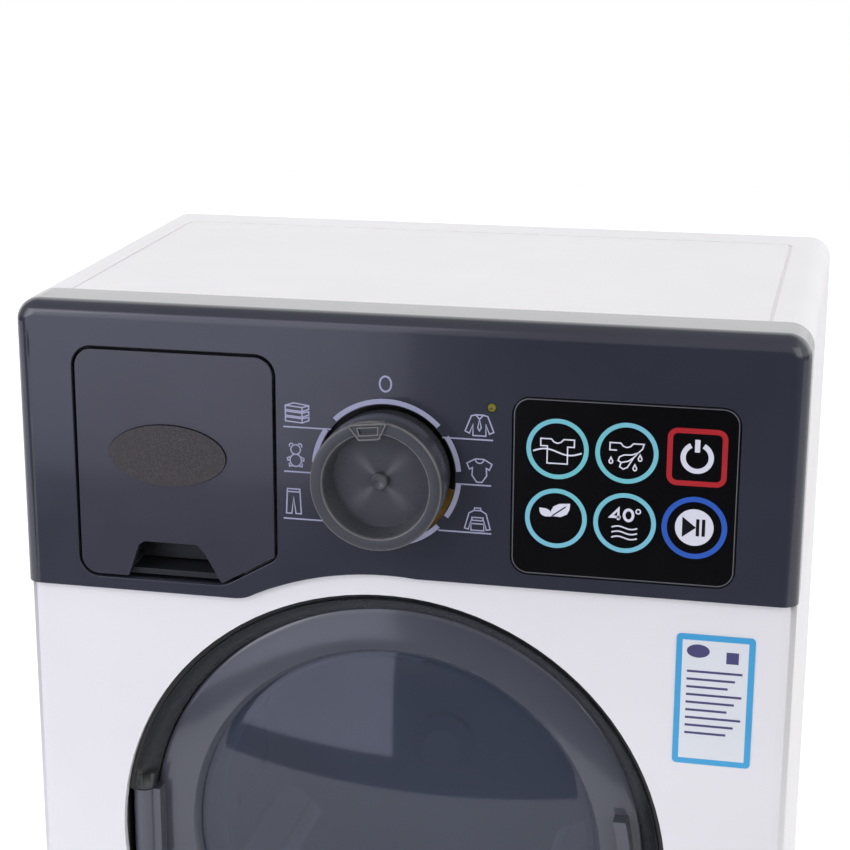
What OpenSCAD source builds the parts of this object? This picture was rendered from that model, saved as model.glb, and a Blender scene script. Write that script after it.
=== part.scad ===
// Toy front-loading washing machine, in millimetres.
// The origin lies under the middle of the machine on the table; the door faces -Y and +Z is up.

/* [Case] */
// Width of the case
case_w = 185; // [181:1:205]
// Height of the top of the case above the table
case_h = 240; // [238:1:260]
// Depth of the white rear shell, from the seam to the back
shell_d = 110; // [109:1:130]
// Wall of the large mouldings
wall = 2.2; // [2:0.1:2.4]
// Radius of the long edges of the case
edge_r = 5.5; // [4:0.5:7]
// Depth of the white front, from the seam to its face
cover_d = 12.5; // [12:0.1:13.2]
// Radius of the edges of the white front's face
cover_edge_r = 4; // [3:0.5:5]
// Gap between mouldings that butt against each other
seam_gap = 0.15; // [0.1:0.05:0.3]
// Radius of the bosses that the case screws go through
boss_r = 4; // [3.8:0.1:4.4]
// Distance of the case screws from the sides
boss_in = 8; // [7:0.5:9]
// Distance of the carrier's screws and posts from the sides
post_in = 8; // [7:0.5:8.5]
// Width of the groove round the top
groove_w = 0.8; // [0.6:0.1:1.2]
// Depth of the groove round the top
groove_deep = 0.3; // [0.2:0.1:0.8]
// Distance of the groove from the sides
groove_in = 9.5; // [8:0.5:14]
// Distance of the groove from the back
groove_back = 16; // [12:0.5:24]

/* [Feet] */
// Height of the feet below the case
foot_h = 4; // [3:0.5:6]
// Radius of a foot
foot_r = 7; // [5:0.5:9]
// Distance of the feet from the sides and the back
foot_in = 15; // [13:0.5:20]
// Radius of the peg that holds a foot
foot_peg_r = 2.5; // [2:0.1:3]

/* [Control panel] */
// Depth of the panel, from its face to the seam
panel_d = 14.3; // [14:0.1:16]
// Height of the panel on the right
panel_h = 62.2; // [61:0.1:63]
// Height of the panel on the left, below the drawer
panel_tab_h = 70.5; // [70:0.1:72]
// Radius of the panel's front edges
panel_edge_r = 4; // [2:0.5:4.5]
// Width of the white rim between the door's hole and the panel's arch
arch_w = 5.6; // [5.3:0.1:6]
// Thickness of the plate inside the front that carries the controls
carrier_t = 2.2; // [2:0.1:3]
// Radius of the posts that hold the panel
post_r = 3; // [2.8:0.1:3.4]

/* [Detergent drawer] */
// Distance of the drawer's front from the left side of the case
drawer_in = 15.1; // [14.7:0.1:15.6]
// Distance of the drawer's front from the hole round the dial
drawer_clear = 10.7; // [10:0.1:11]
// Height of the drawer's front
drawer_h = 55.7; // [55:0.1:56]
// Top of the drawer below the top of the case
drawer_drop = 11.1; // [11:0.1:12]
// Radius of the drawer's corners
drawer_r = 4.3; // [3:0.1:6]
// Width of the slanted corner at lower right
drawer_cut_w = 12.8; // [11:0.1:14]
// Height of the slanted corner at lower right
drawer_cut_h = 7.4; // [6:0.1:8]
// Gap between the drawer's front and the panel
drawer_gap = 0.8; // [0.5:0.1:1]
// Thickness of the drawer's front
drawer_t = 2.6; // [2.4:0.1:3]
// Depth of the hollow behind the finger notch
skirt_d = 11; // [10:0.5:14]
// Length of the tray behind the hollow
tray_len = 66; // [60:1:72]
// Wall of the tray and of the drawer's skirt
tray_wall = 1.4; // [1.2:0.1:1.6]
// How far the tray's rim lies below the top of its outline
tray_low = 7; // [5:0.5:10]
// Running gap between the tray and its housing
tray_gap = 0.35; // [0.3:0.05:0.4]
// Wall of the drawer's housing
housing_wall = 1.4; // [1.2:0.1:1.5]
// Width of the finger notch as a share of the drawer's front
notch_share = 0.5; // [0.4:0.01:0.52]
// Height of the finger notch
notch_h = 9; // [8:0.1:10]

/* [Badge] */
// Half width of the oval badge
badge_rx = 14.4; // [10:0.1:16]
// Half height of the oval badge
badge_rz = 7.4; // [6:0.1:9]
// Thickness of the badge
badge_t = 0.9; // [0.7:0.1:1.2]
// Depth of the recess that the badge sits in
badge_sink = 0.4; // [0.2:0.1:0.6]

/* [Dial] */
// Middle of the dial, right of the machine's middle
dial_x = -2; // [-2.5:0.1:-1.5]
// Middle of the dial below the top of the case
dial_drop = 36.8; // [36:0.1:37.5]
// Radius of the knob
knob_r = 15.3; // [14.5:0.1:15.6]
// Radius of the hole in the panel round the knob
dial_hole_r = 16.3; // [15.8:0.1:16.6]
// How far the knob stands out of the panel
knob_reach = 12; // [11:0.5:15]
// Radius of the dish in the knob's face
dish_r = 12.2; // [11.5:0.1:12.8]
// Depth of the dish
dish_deep = 5.6; // [4.8:0.1:6]
// Wall of the knob
knob_wall = 1.6; // [1.4:0.1:2]
// Height of the pointer above the knob's face
pointer_h = 0.7; // [0.5:0.1:1]
// How far the pointer is turned from the Off mark, towards the left
dial_rest_turn = 6.3; // [0:0.1:12]
// Radius of the spindle
spindle_r = 3; // [2.5:0.1:3.2]
// Running gap between a shaft and its bush
run_gap = 0.05; // [0.03:0.01:0.08]
// Gap between pieces that are fixed together
fit_gap = 0.03; // [0.02:0.01:0.05]

/* [Touch plate] */
// Distance of the touch plate from the right side of the case
touch_in = 14.3; // [13.8:0.1:16]
// Middle of the touch plate below the top of the case
touch_drop = 37.8; // [37:0.1:38.5]
// Distance of the touch plate from the middle of the indicator light
touch_clear = 4.8; // [4:0.1:6]
// Height of the touch plate
touch_h = 42; // [40:0.1:43]
// Radius of the touch plate's corners
touch_r = 4.3; // [3:0.1:6]
// Thickness of the touch plate
touch_t = 1.2; // [1:0.1:1.3]
// Distance of the indicator light's middle from the hole round the dial
led_clear = 8.2; // [7.8:0.1:9]
// Middle of the indicator light below the top of the case
led_drop = 19.8; // [19:0.1:21]
// Radius of the indicator light
led_r = 1; // [0.8:0.1:1.3]

/* [Door] */
// Middle of the door, right of the machine's middle
door_x = -2.2; // [-2.6:0.1:-1.6]
// Distance between the hole round the dial and the panel's arch over the door
dial_clear = 8.7; // [8.4:0.1:9.2]
// Radius of the hole in the white front
door_hole_r = 67.6; // [62:0.1:67.9]
// Width of the bezel's flare, from the hole in the front to the door's recess
flare_w = 5.7; // [5.5:0.1:6.4]
// Width of the door's ring
door_rim_w = 11.1; // [10.6:0.1:11.5]
// Gap round the door
door_gap = 0.7; // [0.7:0.05:1]
// How far the door's face lies behind the white front
door_sink = 6.5; // [6:0.1:7]
// Thickness of the door at its rim
door_t = 8.5; // [8:0.1:9]
// Height of the window's dome
dome_h = 5.2; // [3:0.1:6]
// Thickness of the window
window_t = 1.8; // [1.6:0.1:2]
// Radius of the hinge pin
pin_r = 1.25; // [1.1:0.05:1.4]
// Radius of the door's knuckle
knuckle_r = 2.8; // [2.6:0.1:3]
// Length of the door's knuckle
knuckle_len = 19.6; // [18:0.1:22]
// Length of each ear that holds the hinge pin
ear_len = 4; // [3:0.1:5]

/* [Drum] */
// How much larger the drum is than the window, in radius
drum_over = 1.9; // [1:0.1:2.2]
// Length of the drum
drum_len = 57; // [54:0.5:58]
// Wall of the drum
drum_wall = 1.8; // [1.6:0.1:2]
// Width of the lip round the drum's mouth
mouth_lip = 5.5; // [4:0.5:8]
// Radius of a hole in the drum
drum_hole_r = 2; // [1.5:0.1:2.5]
// Number of holes round the drum
drum_holes = 18; // [12:3:24]
// Number of rows of holes
drum_rows = 4; // [3:1:5]
// Height of a lifter
lifter_h = 12; // [9:0.5:15]
// Width of a lifter at its foot
lifter_w = 15; // [12:0.5:18]
// Radius of the drum's shaft
shaft_r = 3; // [2.5:0.1:3.2]

/* [Drive] */
// Module of the gears: pitch diameter over the number of teeth
gear_m = 1.25; // [1.2:0.01:1.3]
// Teeth of the drum's gear
gear_teeth = 40; // [38:2:44]
// Teeth of the motor's pinion
pinion_teeth = 12; // [12:1:14]
// Pressure angle of the teeth, in degrees
gear_angle = 25; // [24:0.5:26]
// Width of the gear's teeth
gear_t = 5; // [4:0.5:6]
// Play between meshing teeth
gear_play = 0.3; // [0.2:0.05:0.4]
// Radius of the motor
motor_r = 10; // [9.5:0.1:10.2]
// Length of the motor
motor_len = 19.5; // [16:0.5:20]
// Radius of the motor's shaft
motor_shaft_r = 1; // [0.8:0.1:1.2]
// Thickness of the plate that carries the drum and the motor
support_t = 4; // [3.5:0.1:4.2]
// How far the support's screws stand outside the drum, sideways
support_out = 4; // [3:0.5:8]
// How far the support's screws stand inside the drum's height
support_in = 8; // [4:0.5:9]

/* [Power and sound] */
// Radius of a battery
cell_r = 7.1; // [6.8:0.1:7.2]
// Length of a battery's can
cell_len = 49.2; // [48:0.1:50]
// Floor of the battery bay above the bottom of the case
bay_up = 16; // [14:0.5:20]
// Width of the ledge that the battery cover rests on
bay_ledge = 6; // [5.5:0.1:7]
// Thickness of the battery cover
bay_cover_t = 2; // [1.8:0.1:2.2]
// Radius of the speaker
speaker_r = 20; // [18:0.5:22]
// Distance of the speaker's middle from the right side of the case
speaker_in = 52.5; // [48.5:0.5:54.5]
// Middle of the speaker below the top of the case
speaker_drop = 44; // [42:0.5:50]
// Width of a slot in the speaker grille
slot_w = 2; // [1.5:0.1:2.5]
// Number of slots in the speaker grille
slots = 9; // [5:2:9]

/* [Screws] */
// Radius of a screw's thread
screw_r = 1.4; // [1.2:0.05:1.5]
// Radius of a screw's head
screw_head_r = 2.6; // [2.4:0.05:2.7]
// Height of a screw's head
screw_head_h = 1.7; // [1.4:0.1:2]
// Width of the cross in a screw's head
cross_w = 0.7; // [0.5:0.1:0.9]

/* [Sticker] */
// Width of the sticker on the white front
sticker_w = 17.8; // [14:0.1:20]
// Height of the sticker
sticker_h = 32; // [24:0.5:40]
// Distance of the sticker from the right side of the case
sticker_in = 8.9; // [6:0.1:9.5]
// Top of the sticker below the top of the case
sticker_drop = 70.8; // [68:0.1:75]
// Thickness of the sticker
sticker_t = 0.2; // [0.1:0.05:0.4]

/* [Hidden] */
$fn = 64;
// How far a cut runs past the face that it opens
over = 1;

// Planes from the front to the back
total_d = knob_reach + panel_d + shell_d;
knob_y = -total_d / 2;
face_y = knob_y + knob_reach;
seam_y = face_y + panel_d;
cover_y = seam_y - cover_d;
carrier_y = seam_y - carrier_t;
back_y = seam_y + shell_d;
inside_back_y = back_y - wall;

// Heights and places on the front
half_w = case_w / 2;
dial_z = case_h - dial_drop;
arch_r = door_hole_r + arch_w;
door_z = dial_z - dial_hole_r - dial_clear - arch_r;
touch_z = case_h - touch_drop;
led_x = dial_x + dial_hole_r + led_clear;
led_z = case_h - led_drop;
touch_left = led_x + touch_clear;
touch_right = half_w - touch_in;
touch_w = touch_right - touch_left;
touch_x = (touch_left + touch_right) / 2;
drawer_left = drawer_in - half_w;
drawer_right = dial_x - dial_hole_r - drawer_clear;
drawer_w = drawer_right - drawer_left;
drawer_x = (drawer_left + drawer_right) / 2;
drawer_z = case_h - drawer_drop - drawer_h / 2;
drawer_floor = drawer_z - drawer_h / 2;
screw_hole_r = screw_r + 0.05;
thread_len = 7;

// Screws that hold the front and the rear shell together
case_screw_rise = 9;
case_screw_z = [foot_h + case_screw_rise, case_h / 2, case_h - case_screw_rise];
case_screw_at = [for (sx = [-1, 1], z = case_screw_z) [sx * (half_w - boss_in), z]];
case_screw_deep = 12;
// Posts that hold the panel on the carrier: two at each side, two between the drawer and the dial
panel_low = case_h - panel_h;
post_edge = 7;
post_drop = 25.2;
post_x = drawer_right + 6.4;
post_at = [
    [post_in - half_w, panel_low + post_edge], [post_in - half_w, case_h - post_drop],
    [half_w - post_in, panel_low + post_edge], [half_w - post_in, case_h - post_drop],
    [post_x, case_h - post_edge - 1], [post_x, panel_low + post_edge - 0.5],
];

// Drawer: the skirt and the tray lie inside the front's outline by this much
skirt_in = tray_gap + housing_wall - 0.2;
tray_y = face_y + skirt_d;
tray_top = drawer_z + drawer_h / 2 - skirt_in - tray_low;
housing_y = face_y + drawer_t + 0.3;
housing_end = tray_y + tray_len + 1 + housing_wall;
housing_in = skirt_in - tray_gap;
housing_out = housing_in - housing_wall;
housing_ear = 2;
housing_ear_r = 3.2;
housing_ear_out = 6;
housing_ear_at = [
    [drawer_left - housing_ear_out, drawer_z - 1],
    [drawer_right + housing_ear_out, drawer_z + 11],
];
tray_divider_off = 2;
tray_cross_share = 0.55;
badge_shift = [-1.65, 3];

// Dial
pointer_w = 8.2;
pointer_tip_w = 5.8;
pointer_r = 0.6;
stud_r = 2;
stud_h = 1.6;
track_r = knob_r - 3.8;
track_w = 2.6;
wiper_turns = [30, 150, 270];
wiper_arm_w = 3;
dimple_r = 0.8;
knob_face_y = knob_y + pointer_h;
knob_end_y = face_y + 1.2;
dial_rib_in = dial_hole_r + 0.9;
dial_rib_out = dial_rib_in + 2;
dial_board_y = face_y + wall + 3;
dial_board_t = 1.2;
spindle_y = knob_face_y + dish_deep + 1.4;
spindle_end_y = seam_y + 5;
bush_r = spindle_r + 2;
bush_flange_t = 1.2;
bush_end_y = seam_y + 1.8;

// Touch plate and boards
touch_gap = 0.15;
touch_seat = touch_t + touch_gap;
board_y = face_y + wall + 0.2;
board_t = 1.2;
peg_r = 1.2;
touch_board_x0 = led_x - 3.5;
touch_board_x1 = touch_x + touch_w / 2 + 1.5;
touch_board_h = touch_h + 2;
peg_at = [for (x = [touch_board_x0 + 4, touch_board_x1 - 3], s = [-1, 1])
    [x, touch_z + s * (touch_h / 2 - 3)]];
main_board_w = touch_w + 1.1;
main_board_h = touch_h - 2;
main_board_rim = 9;
standoff = 6;
standoff_r = 2.8;
standoff_in = 4;
standoff_thread = 6;
standoff_at = [for (sx = [-1, 1], sz = [-1, 1])
    [touch_x + sx * (main_board_w / 2 - standoff_in), touch_z + sz * (main_board_h / 2 - standoff_in)]];
main_board_y = seam_y + standoff;

// Door, its bezel and its hinge
recess_r = door_hole_r - flare_w;
door_r = recess_r - door_gap;
window_r = door_r - door_rim_w;
door_y = cover_y + door_sink;
door_back_y = door_y + door_t;
landing_y = door_back_y + 0.4;
landing_t = 2;
landing_r = window_r + 1;
bezel_wall = 2;
drum_r = window_r + drum_over;
collar_r = drum_r + 1.6;
collar_h = 8;
collar_t = 1.8;
flange_out_r = arch_r - wall - 0.9;
hinge_x = door_x - door_r - 2.4;
hinge_y = cover_y + 4.6;
hinge_pocket = knuckle_len / 2 + 0.4;
hinge_room_y = hinge_y + knuckle_r + 2.4;
hinge_room_side = hinge_x - knuckle_r - 0.6;
hinge_cup_y = cover_y + 3;
hinge_cup_wall = 0.8;
hinge_ear_back = 4;
bezel_lip = [door_hole_r - 1.6, 0.8];
bezel_groove = 1.8;
bezel_ear_r = recess_r + 12.3;
bezel_ear_y = cover_y + 7.2;
bezel_ear_t = 2;
bezel_thread = 4.4;
ear_r = 3;
bezel_ear_turns = [40, 140, 220, 320];
tongue_in = 1.2;
tongue_t = 1.6;
tongue_w = 6;
tongue_len = 4;
tongue_x = door_x + door_r - tongue_in - tongue_t;
catch_wall = 1.5;
catch_d = 5;
catch_h = 2 * tongue_w;
grip_reach = 4;
grip_w = 3;
grip_in = 2;
grip_h = 28;
window_y = door_y + 2.5;
inner_ring_y = window_y + 2.1;
inner_ring_r = door_r - 2.4;
inner_ring_lip = 1.5;
door_wall = 2.2;
crown_r = 60;
ring_tilt = 6;
ring_lip = 0.4;
ring_bevel = 1.4;
door_post_r = 1.95;
door_screw_thread_r = 0.9;
door_screw_head = 1.7;
door_screw_r = window_r + 6.2;
door_screw_turns = [45, 135, 225, 315];

// Drum, its shaft and its support
mouth_r = drum_r - mouth_lip;
support_x = drum_r + support_out;
support_z = drum_r - support_in;
support_hub_r = 18;
support_arm_w = 10;
drum_row_edge = 10;
lifter_ramp = 12;
lifter_tail = 8;
drum_y = landing_y + landing_t + 1;
drum_back_y = drum_y + drum_len;
drum_in_r = drum_r - drum_wall;
drum_back_t = 2.4;
drum_hub_r = 8;
drum_hub_h = 2;
drum_boss_h = 6;
support_y = drum_back_y + drum_hub_h + 2.2;
support_back_y = support_y + support_t;
bearing_r = shaft_r + 2.5;
bearing_flange_t = 1.2;
bearing_len = support_t + 3;
gear_y = support_back_y + 5.5;
gear_r = gear_m * gear_teeth / 2;
pinion_r = gear_m * pinion_teeth / 2;
motor_x = door_x + gear_r + pinion_r;
mount_y = gear_y + gear_t + 2.4;
mount_t = 2;
mount_post_z = 14;
mount_cup_w = 1.8;
mount_cup_h = 8;
mount_ear_r = 3.4;
motor_cap_t = 3;
motor_boss_r = 3;
motor_y = mount_y + mount_t;
lifter_turns = [90, 210, 330];

// Battery bay, open to the back
cells = 3;
bay_wall = 1;
bay_r = 3;
latch_w = 8;
latch_t = 2;
latch_gap = 0.3;
cell_pitch = cell_r * 2 + 0.4;
nub_len = 1.3;
nub_r = 2.7;
spring_len = 5;
contact_t = 0.4;
contact_w = 9;
spring_tip_r = 3;
spring_r = 4.2;
bay_w = cell_len + nub_len + spring_len + 2 * contact_t + 0.6;
bay_h = cells * cell_pitch + 0.2;
bay_z = foot_h + bay_up + bay_h / 2;
bay_screw_z = bay_z + bay_h / 2 + bay_ledge / 2;
bay_d = bay_cover_t + cell_r * 2 + 0.8;
cell_y = back_y - bay_d + cell_r + 0.2;
function cell_z(i) = bay_z + (i - (cells + 1) / 2) * cell_pitch;
function cell_side(i) = i % 2 == 0 ? 1 : -1;

// Speaker
speaker_x = half_w - speaker_in;
speaker_z = case_h - speaker_drop;
speaker_t = 7;
speaker_gap = 0.3;
speaker_ring_w = 1.6;
speaker_ring_h = 5;
speaker_post_h = 2;
speaker_post_r = 2.8;
speaker_screw_at = [for (t = [30, 150, 270]) [speaker_x, speaker_z] + (speaker_r + 3.4) * [cos(t), sin(t)]];

// Feet
foot_at = [
    [foot_in - half_w, seam_y + foot_in], [half_w - foot_in, seam_y + foot_in],
    [foot_in - half_w, back_y - foot_in], [half_w - foot_in, back_y - foot_in],
];
foot_peg_h = 4;

// Points of an arc about c, from angle a to angle b in n steps
function arc(c, r, a, b, n) =
    [for (i = [0:n]) let (t = a + (b - a) * i / n) c + r * [cos(t), sin(t)]];

// Angle that the involute of a base circle rb has turned through at the radius r
function involute(rb, r) = sqrt(pow(r / rb, 2) - 1) * 180 / PI - acos(rb / r);

// Flat plate whose front view is drawn in its children, from the plane y back by d
module plate(y, d) {
    translate([0, y + d, 0])
        rotate([90, 0, 0])
            linear_extrude(d) children();
}

// Round bar that runs back by d from the point (x, y, z)
module bar(x, y, z, d, r) {
    translate([x, y, z])
        rotate([-90, 0, 0])
            cylinder(h = d, r = r);
}

// Turned shape about the line through (x, z); its profile is radius against distance back from y
module turned(x, z, y) {
    translate([x, y, z])
        rotate([-90, 0, 0])
            rotate_extrude() children();
}

// Rectangle with round corners about its middle
module rounded_rect(size, r) {
    square([size.x - 2 * r, size.y], center = true);
    square([size.x, size.y - 2 * r], center = true);
    for (sx = [-1, 1], sy = [-1, 1])
        translate([sx * (size.x / 2 - r), sy * (size.y / 2 - r)])
            circle(r);
}

// Wedge about the origin from angle a to angle b
module wedge(r, a, b) {
    polygon(concat([[0, 0]], arc([0, 0], r, a, b, 6)));
}

// Screw with its head at the plane y, its thread towards the front or, with back = true, the back
module screw(x, y, z, len, back = false) {
    s = back ? 1 : -1;
    translate([x, y, z])
        rotate([-90 * s, 0, 0])
            difference() {
                union() {
                    translate([0, 0, -screw_head_h])
                        cylinder(h = screw_head_h, r1 = screw_head_r * 0.8, r2 = screw_head_r);
                    cylinder(h = len, r = screw_r);
                }
                for (w = [[cross_w, screw_head_r], [screw_head_r, cross_w]])
                    translate([-w.x / 2, -w.y / 2, -screw_head_h - over])
                        cube([w.x, w.y, over + screw_head_h / 2]);
            }
}

// Front view of the whole case, drawn in by g
module case_outline(g = 0) {
    translate([0, (case_h + foot_h) / 2])
        rounded_rect([case_w - 2 * g, case_h - foot_h - 2 * g], max(edge_r - g, 1));
}

// Front view of the control panel, drawn in by g: a band, a tab below the drawer and the arch
module panel_outline(g = 0) {
    low = case_h - panel_h + g;
    tab_low = case_h - panel_tab_h + g;
    difference() {
        union() {
            translate([g - half_w, low])
                square([case_w - 2 * g, case_h - g - low]);
            translate([g - half_w, tab_low])
                square([half_w + door_x - g, case_h - g - tab_low]);
        }
        translate([door_x, door_z])
            circle(arch_r + g);
    }
}

// Front view of the white front, drawn in by g
module cover_outline(g = 0) {
    difference() {
        case_outline(g);
        panel_outline(-(seam_gap + g));
    }
}

// Front view of the plate behind the panel, which is one piece with the white front
module carrier_outline() {
    intersection() {
        case_outline(wall + seam_gap);
        panel_outline(-(seam_gap + wall));
    }
}

// Case-shaped block from y0 to y1 whose edges at one end, the front or the back, are rounded by radius
module soft_block(y0, y1, radius, front) {
    r = min(radius, edge_r - 0.5);
    len = y1 - y0 + 2 * r;
    w = case_w - 2 * edge_r;
    h = case_h - foot_h - 2 * edge_r;
    intersection() {
        translate([0, (y0 + y1) / 2 + (front ? r : -r), (case_h + foot_h) / 2]) {
            translate([0, 0, -h / 2])
                linear_extrude(h) rounded_rect([case_w, len], r);
            translate([-w / 2, 0, 0])
                rotate([90, 0, 90])
                    linear_extrude(w) rounded_rect([len, case_h - foot_h], r);
            for (sx = [-1, 1], sz = [-1, 1])
                translate([sx * w / 2, 0, sz * h / 2])
                    rotate([0, sz > 0 ? 225 + 45 * sx : 45 - 45 * sx, 0])
                        rotate([-90, 0, 0]) soft_corner(len, r);
        }
        translate([-half_w, y0, foot_h]) cube([case_w, y1 - y0, case_h - foot_h]);
    }
}

// Quarter of a turned post of the length len whose ends are rounded by r
module soft_corner(len, r) {
    rotate_extrude(angle = 90)
        intersection() {
            rounded_rect([2 * edge_r, len], r);
            translate([0, -len / 2]) square([edge_r, len]);
        }
}

// Case: rear shell, white front, feet and sticker

module rear_shell() color("whitesmoke") {
    difference() {
        union() {
            difference() {
                soft_block(seam_y, back_y, edge_r, false);
                plate(seam_y - over, shell_d - wall + over) case_outline(wall);
            }
            for (p = case_screw_at)
                bar(p.x, seam_y, p.y, shell_d - wall / 2, boss_r);
            for (sx = [-1, 1], sz = [-1, 1])
                bar(door_x + sx * support_x, support_back_y, door_z + sz * support_z,
                    back_y - support_back_y - wall / 2, boss_r);
            battery_bay();
            speaker_seat();
            for (p = foot_at)
                translate([p.x, p.y, foot_h])
                    cylinder(h = foot_peg_h + wall, r = foot_peg_r + wall);
        }
        for (p = case_screw_at) {
            bar(p.x, seam_y - over, p.y, shell_d + 2 * over, screw_hole_r);
            bar(p.x, seam_y + case_screw_deep, p.y, shell_d, screw_head_r + 0.3);
        }
        for (sx = [-1, 1], sz = [-1, 1])
            bar(door_x + sx * support_x, support_back_y - over, door_z + sz * support_z,
                thread_len + 1 + over, screw_hole_r);
        battery_pocket();
        speaker_grille();
        top_groove();
        for (p = foot_at)
            translate([p.x, p.y, foot_h - over])
                cylinder(h = foot_peg_h + 0.2 + over, r = foot_peg_r + fit_gap);
    }
}

// Walls of the battery bay, inside the shell
module battery_bay() {
    w = bay_w + 2 * (bay_ledge + bay_wall);
    h = bay_h + 2 * (bay_ledge + bay_wall);
    translate([-w / 2, back_y - bay_d - wall, bay_z - h / 2])
        cube([w, bay_d + wall / 2, h]);
}

// Hollow of the battery bay with the ledge of its cover
module battery_pocket() {
    translate([-bay_w / 2, back_y - bay_d, bay_z - bay_h / 2])
        cube([bay_w, bay_d + over, bay_h]);
    plate(back_y - bay_cover_t, bay_cover_t + over)
        translate([0, bay_z]) rounded_rect([bay_w + 2 * bay_ledge, bay_h + 2 * bay_ledge], bay_r);
    for (sx = [-1, 1])
        translate([sx * bay_w / 4 - latch_w / 2, back_y - bay_cover_t - latch_t,
            bay_z - bay_h / 2 - bay_ledge + 1])
            cube([latch_w, latch_t + over, bay_ledge - 2]);
    bar(0, back_y - bay_cover_t - thread_len - 1, bay_screw_z, thread_len + 1 + over, screw_hole_r);
}

// Ring wall and three short posts that hold the speaker against the back
module speaker_seat() {
    plate(inside_back_y - speaker_ring_h, speaker_ring_h + wall / 2)
        translate([speaker_x, speaker_z])
            difference() {
                circle(speaker_r + speaker_gap + speaker_ring_w);
                circle(speaker_r + speaker_gap);
            }
    for (p = speaker_screw_at)
        bar(p.x, inside_back_y - speaker_post_h, p.y, speaker_post_h + wall / 2, speaker_post_r);
}

// Slots through the back over the speaker, and the holes of its screws
module speaker_grille() {
    pitch = 2 * slot_w;
    reach = speaker_r - 2.5;
    for (i = [-(slots - 1) / 2:(slots - 1) / 2])
        let (half = sqrt(pow(reach, 2) - pow(i * pitch, 2)))
            plate(inside_back_y - over, wall + 2 * over)
                translate([speaker_x + i * pitch, speaker_z])
                    rounded_rect([slot_w, 2 * half], slot_w / 2 - 0.01);
    for (p = speaker_screw_at) {
        bar(p.x, inside_back_y - speaker_post_h - over, p.y, speaker_post_h + 1 + over, screw_hole_r);
        bar(p.x, inside_back_y - speaker_ring_h - over, p.y, speaker_ring_h - speaker_post_h + over,
            screw_head_r + 0.2);
    }
}

// Shallow groove that frames the top
module top_groove() {
    w = case_w - 2 * groove_in;
    d = shell_d - groove_back;
    r = 3;
    translate([0, 0, case_h - groove_deep])
        linear_extrude(groove_deep + over)
            difference() {
                translate([0, seam_y + d / 2 - r]) rounded_rect([w, d + 2 * r], r);
                translate([0, seam_y + d / 2 - r])
                    rounded_rect([w - 2 * groove_w, d + 2 * r - 2 * groove_w], r - groove_w);
            }
}

module front_cover() color("whitesmoke") {
    difference() {
        union() {
            difference() {
                intersection() {
                    soft_block(cover_y, seam_y, cover_edge_r, true);
                    plate(cover_y, cover_d) cover_outline();
                }
                plate(cover_y + wall, cover_d) cover_outline(wall);
            }
            plate(carrier_y, carrier_t) carrier_outline();
            for (p = case_screw_at)
                if (p.y < case_h - panel_tab_h)
                    bar(p.x, cover_y + wall / 2, p.y, cover_d - wall / 2, boss_r);
                else
                    bar(p.x, seam_y - thread_len - 2, p.y, thread_len + 2, boss_r);
            for (t = bezel_ear_turns)
                bar(door_x + bezel_ear_r * cos(t), cover_y + wall / 2, door_z + bezel_ear_r * sin(t),
                    bezel_ear_y - cover_y - wall / 2, ear_r);
            for (p = standoff_at)
                bar(p.x, carrier_y, p.y, carrier_t + standoff, standoff_r);
        }
        bar(door_x, cover_y - over, door_z, wall + 2 * over, door_hole_r);
        for (p = case_screw_at)
            bar(p.x, seam_y - thread_len - 1, p.y, thread_len + 1 + over, screw_hole_r);
        for (t = bezel_ear_turns)
            bar(door_x + bezel_ear_r * cos(t), cover_y + wall, door_z + bezel_ear_r * sin(t), cover_d,
                screw_hole_r);
        for (p = post_at)
            bar(p.x, carrier_y - over, p.y, carrier_t + 2 * over, screw_hole_r);
        for (p = housing_ear_at)
            bar(p.x, carrier_y - over, p.y, carrier_t + 2 * over, screw_hole_r);
        for (p = standoff_at)
            bar(p.x, carrier_y + 1, p.y, carrier_t + standoff + over, screw_hole_r);
        plate(carrier_y - over, carrier_t + 2 * over) drawer_outline(housing_out - seam_gap);
        bar(dial_x, carrier_y - over, dial_z, carrier_t + 2 * over, bush_r + fit_gap);
        plate(carrier_y - over, carrier_t + 2 * over)
            translate([touch_x, touch_z])
                rounded_rect([main_board_w, main_board_h] - 2 * main_board_rim * [1, 1], 3);
    }
}

module foot(i) color("dimgray") {
    p = foot_at[i];
    translate([p.x, p.y, 0]) {
        rotate_extrude()
            polygon([[0, 0], [foot_r - 1, 0], [foot_r, 1], [foot_r, foot_h], [0, foot_h]]);
        cylinder(h = foot_h + foot_peg_h, r = foot_peg_r);
    }
}

module sticker() color("deepskyblue") {
    plate(cover_y - sticker_t, sticker_t)
        translate([half_w - sticker_in - sticker_w / 2, case_h - sticker_drop - sticker_h / 2])
            rounded_rect([sticker_w, sticker_h], 1);
}

module case_screws() color("silver") {
    for (p = case_screw_at)
        screw(p.x, seam_y + case_screw_deep, p.y, case_screw_deep + thread_len);
}

// Control panel

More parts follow.
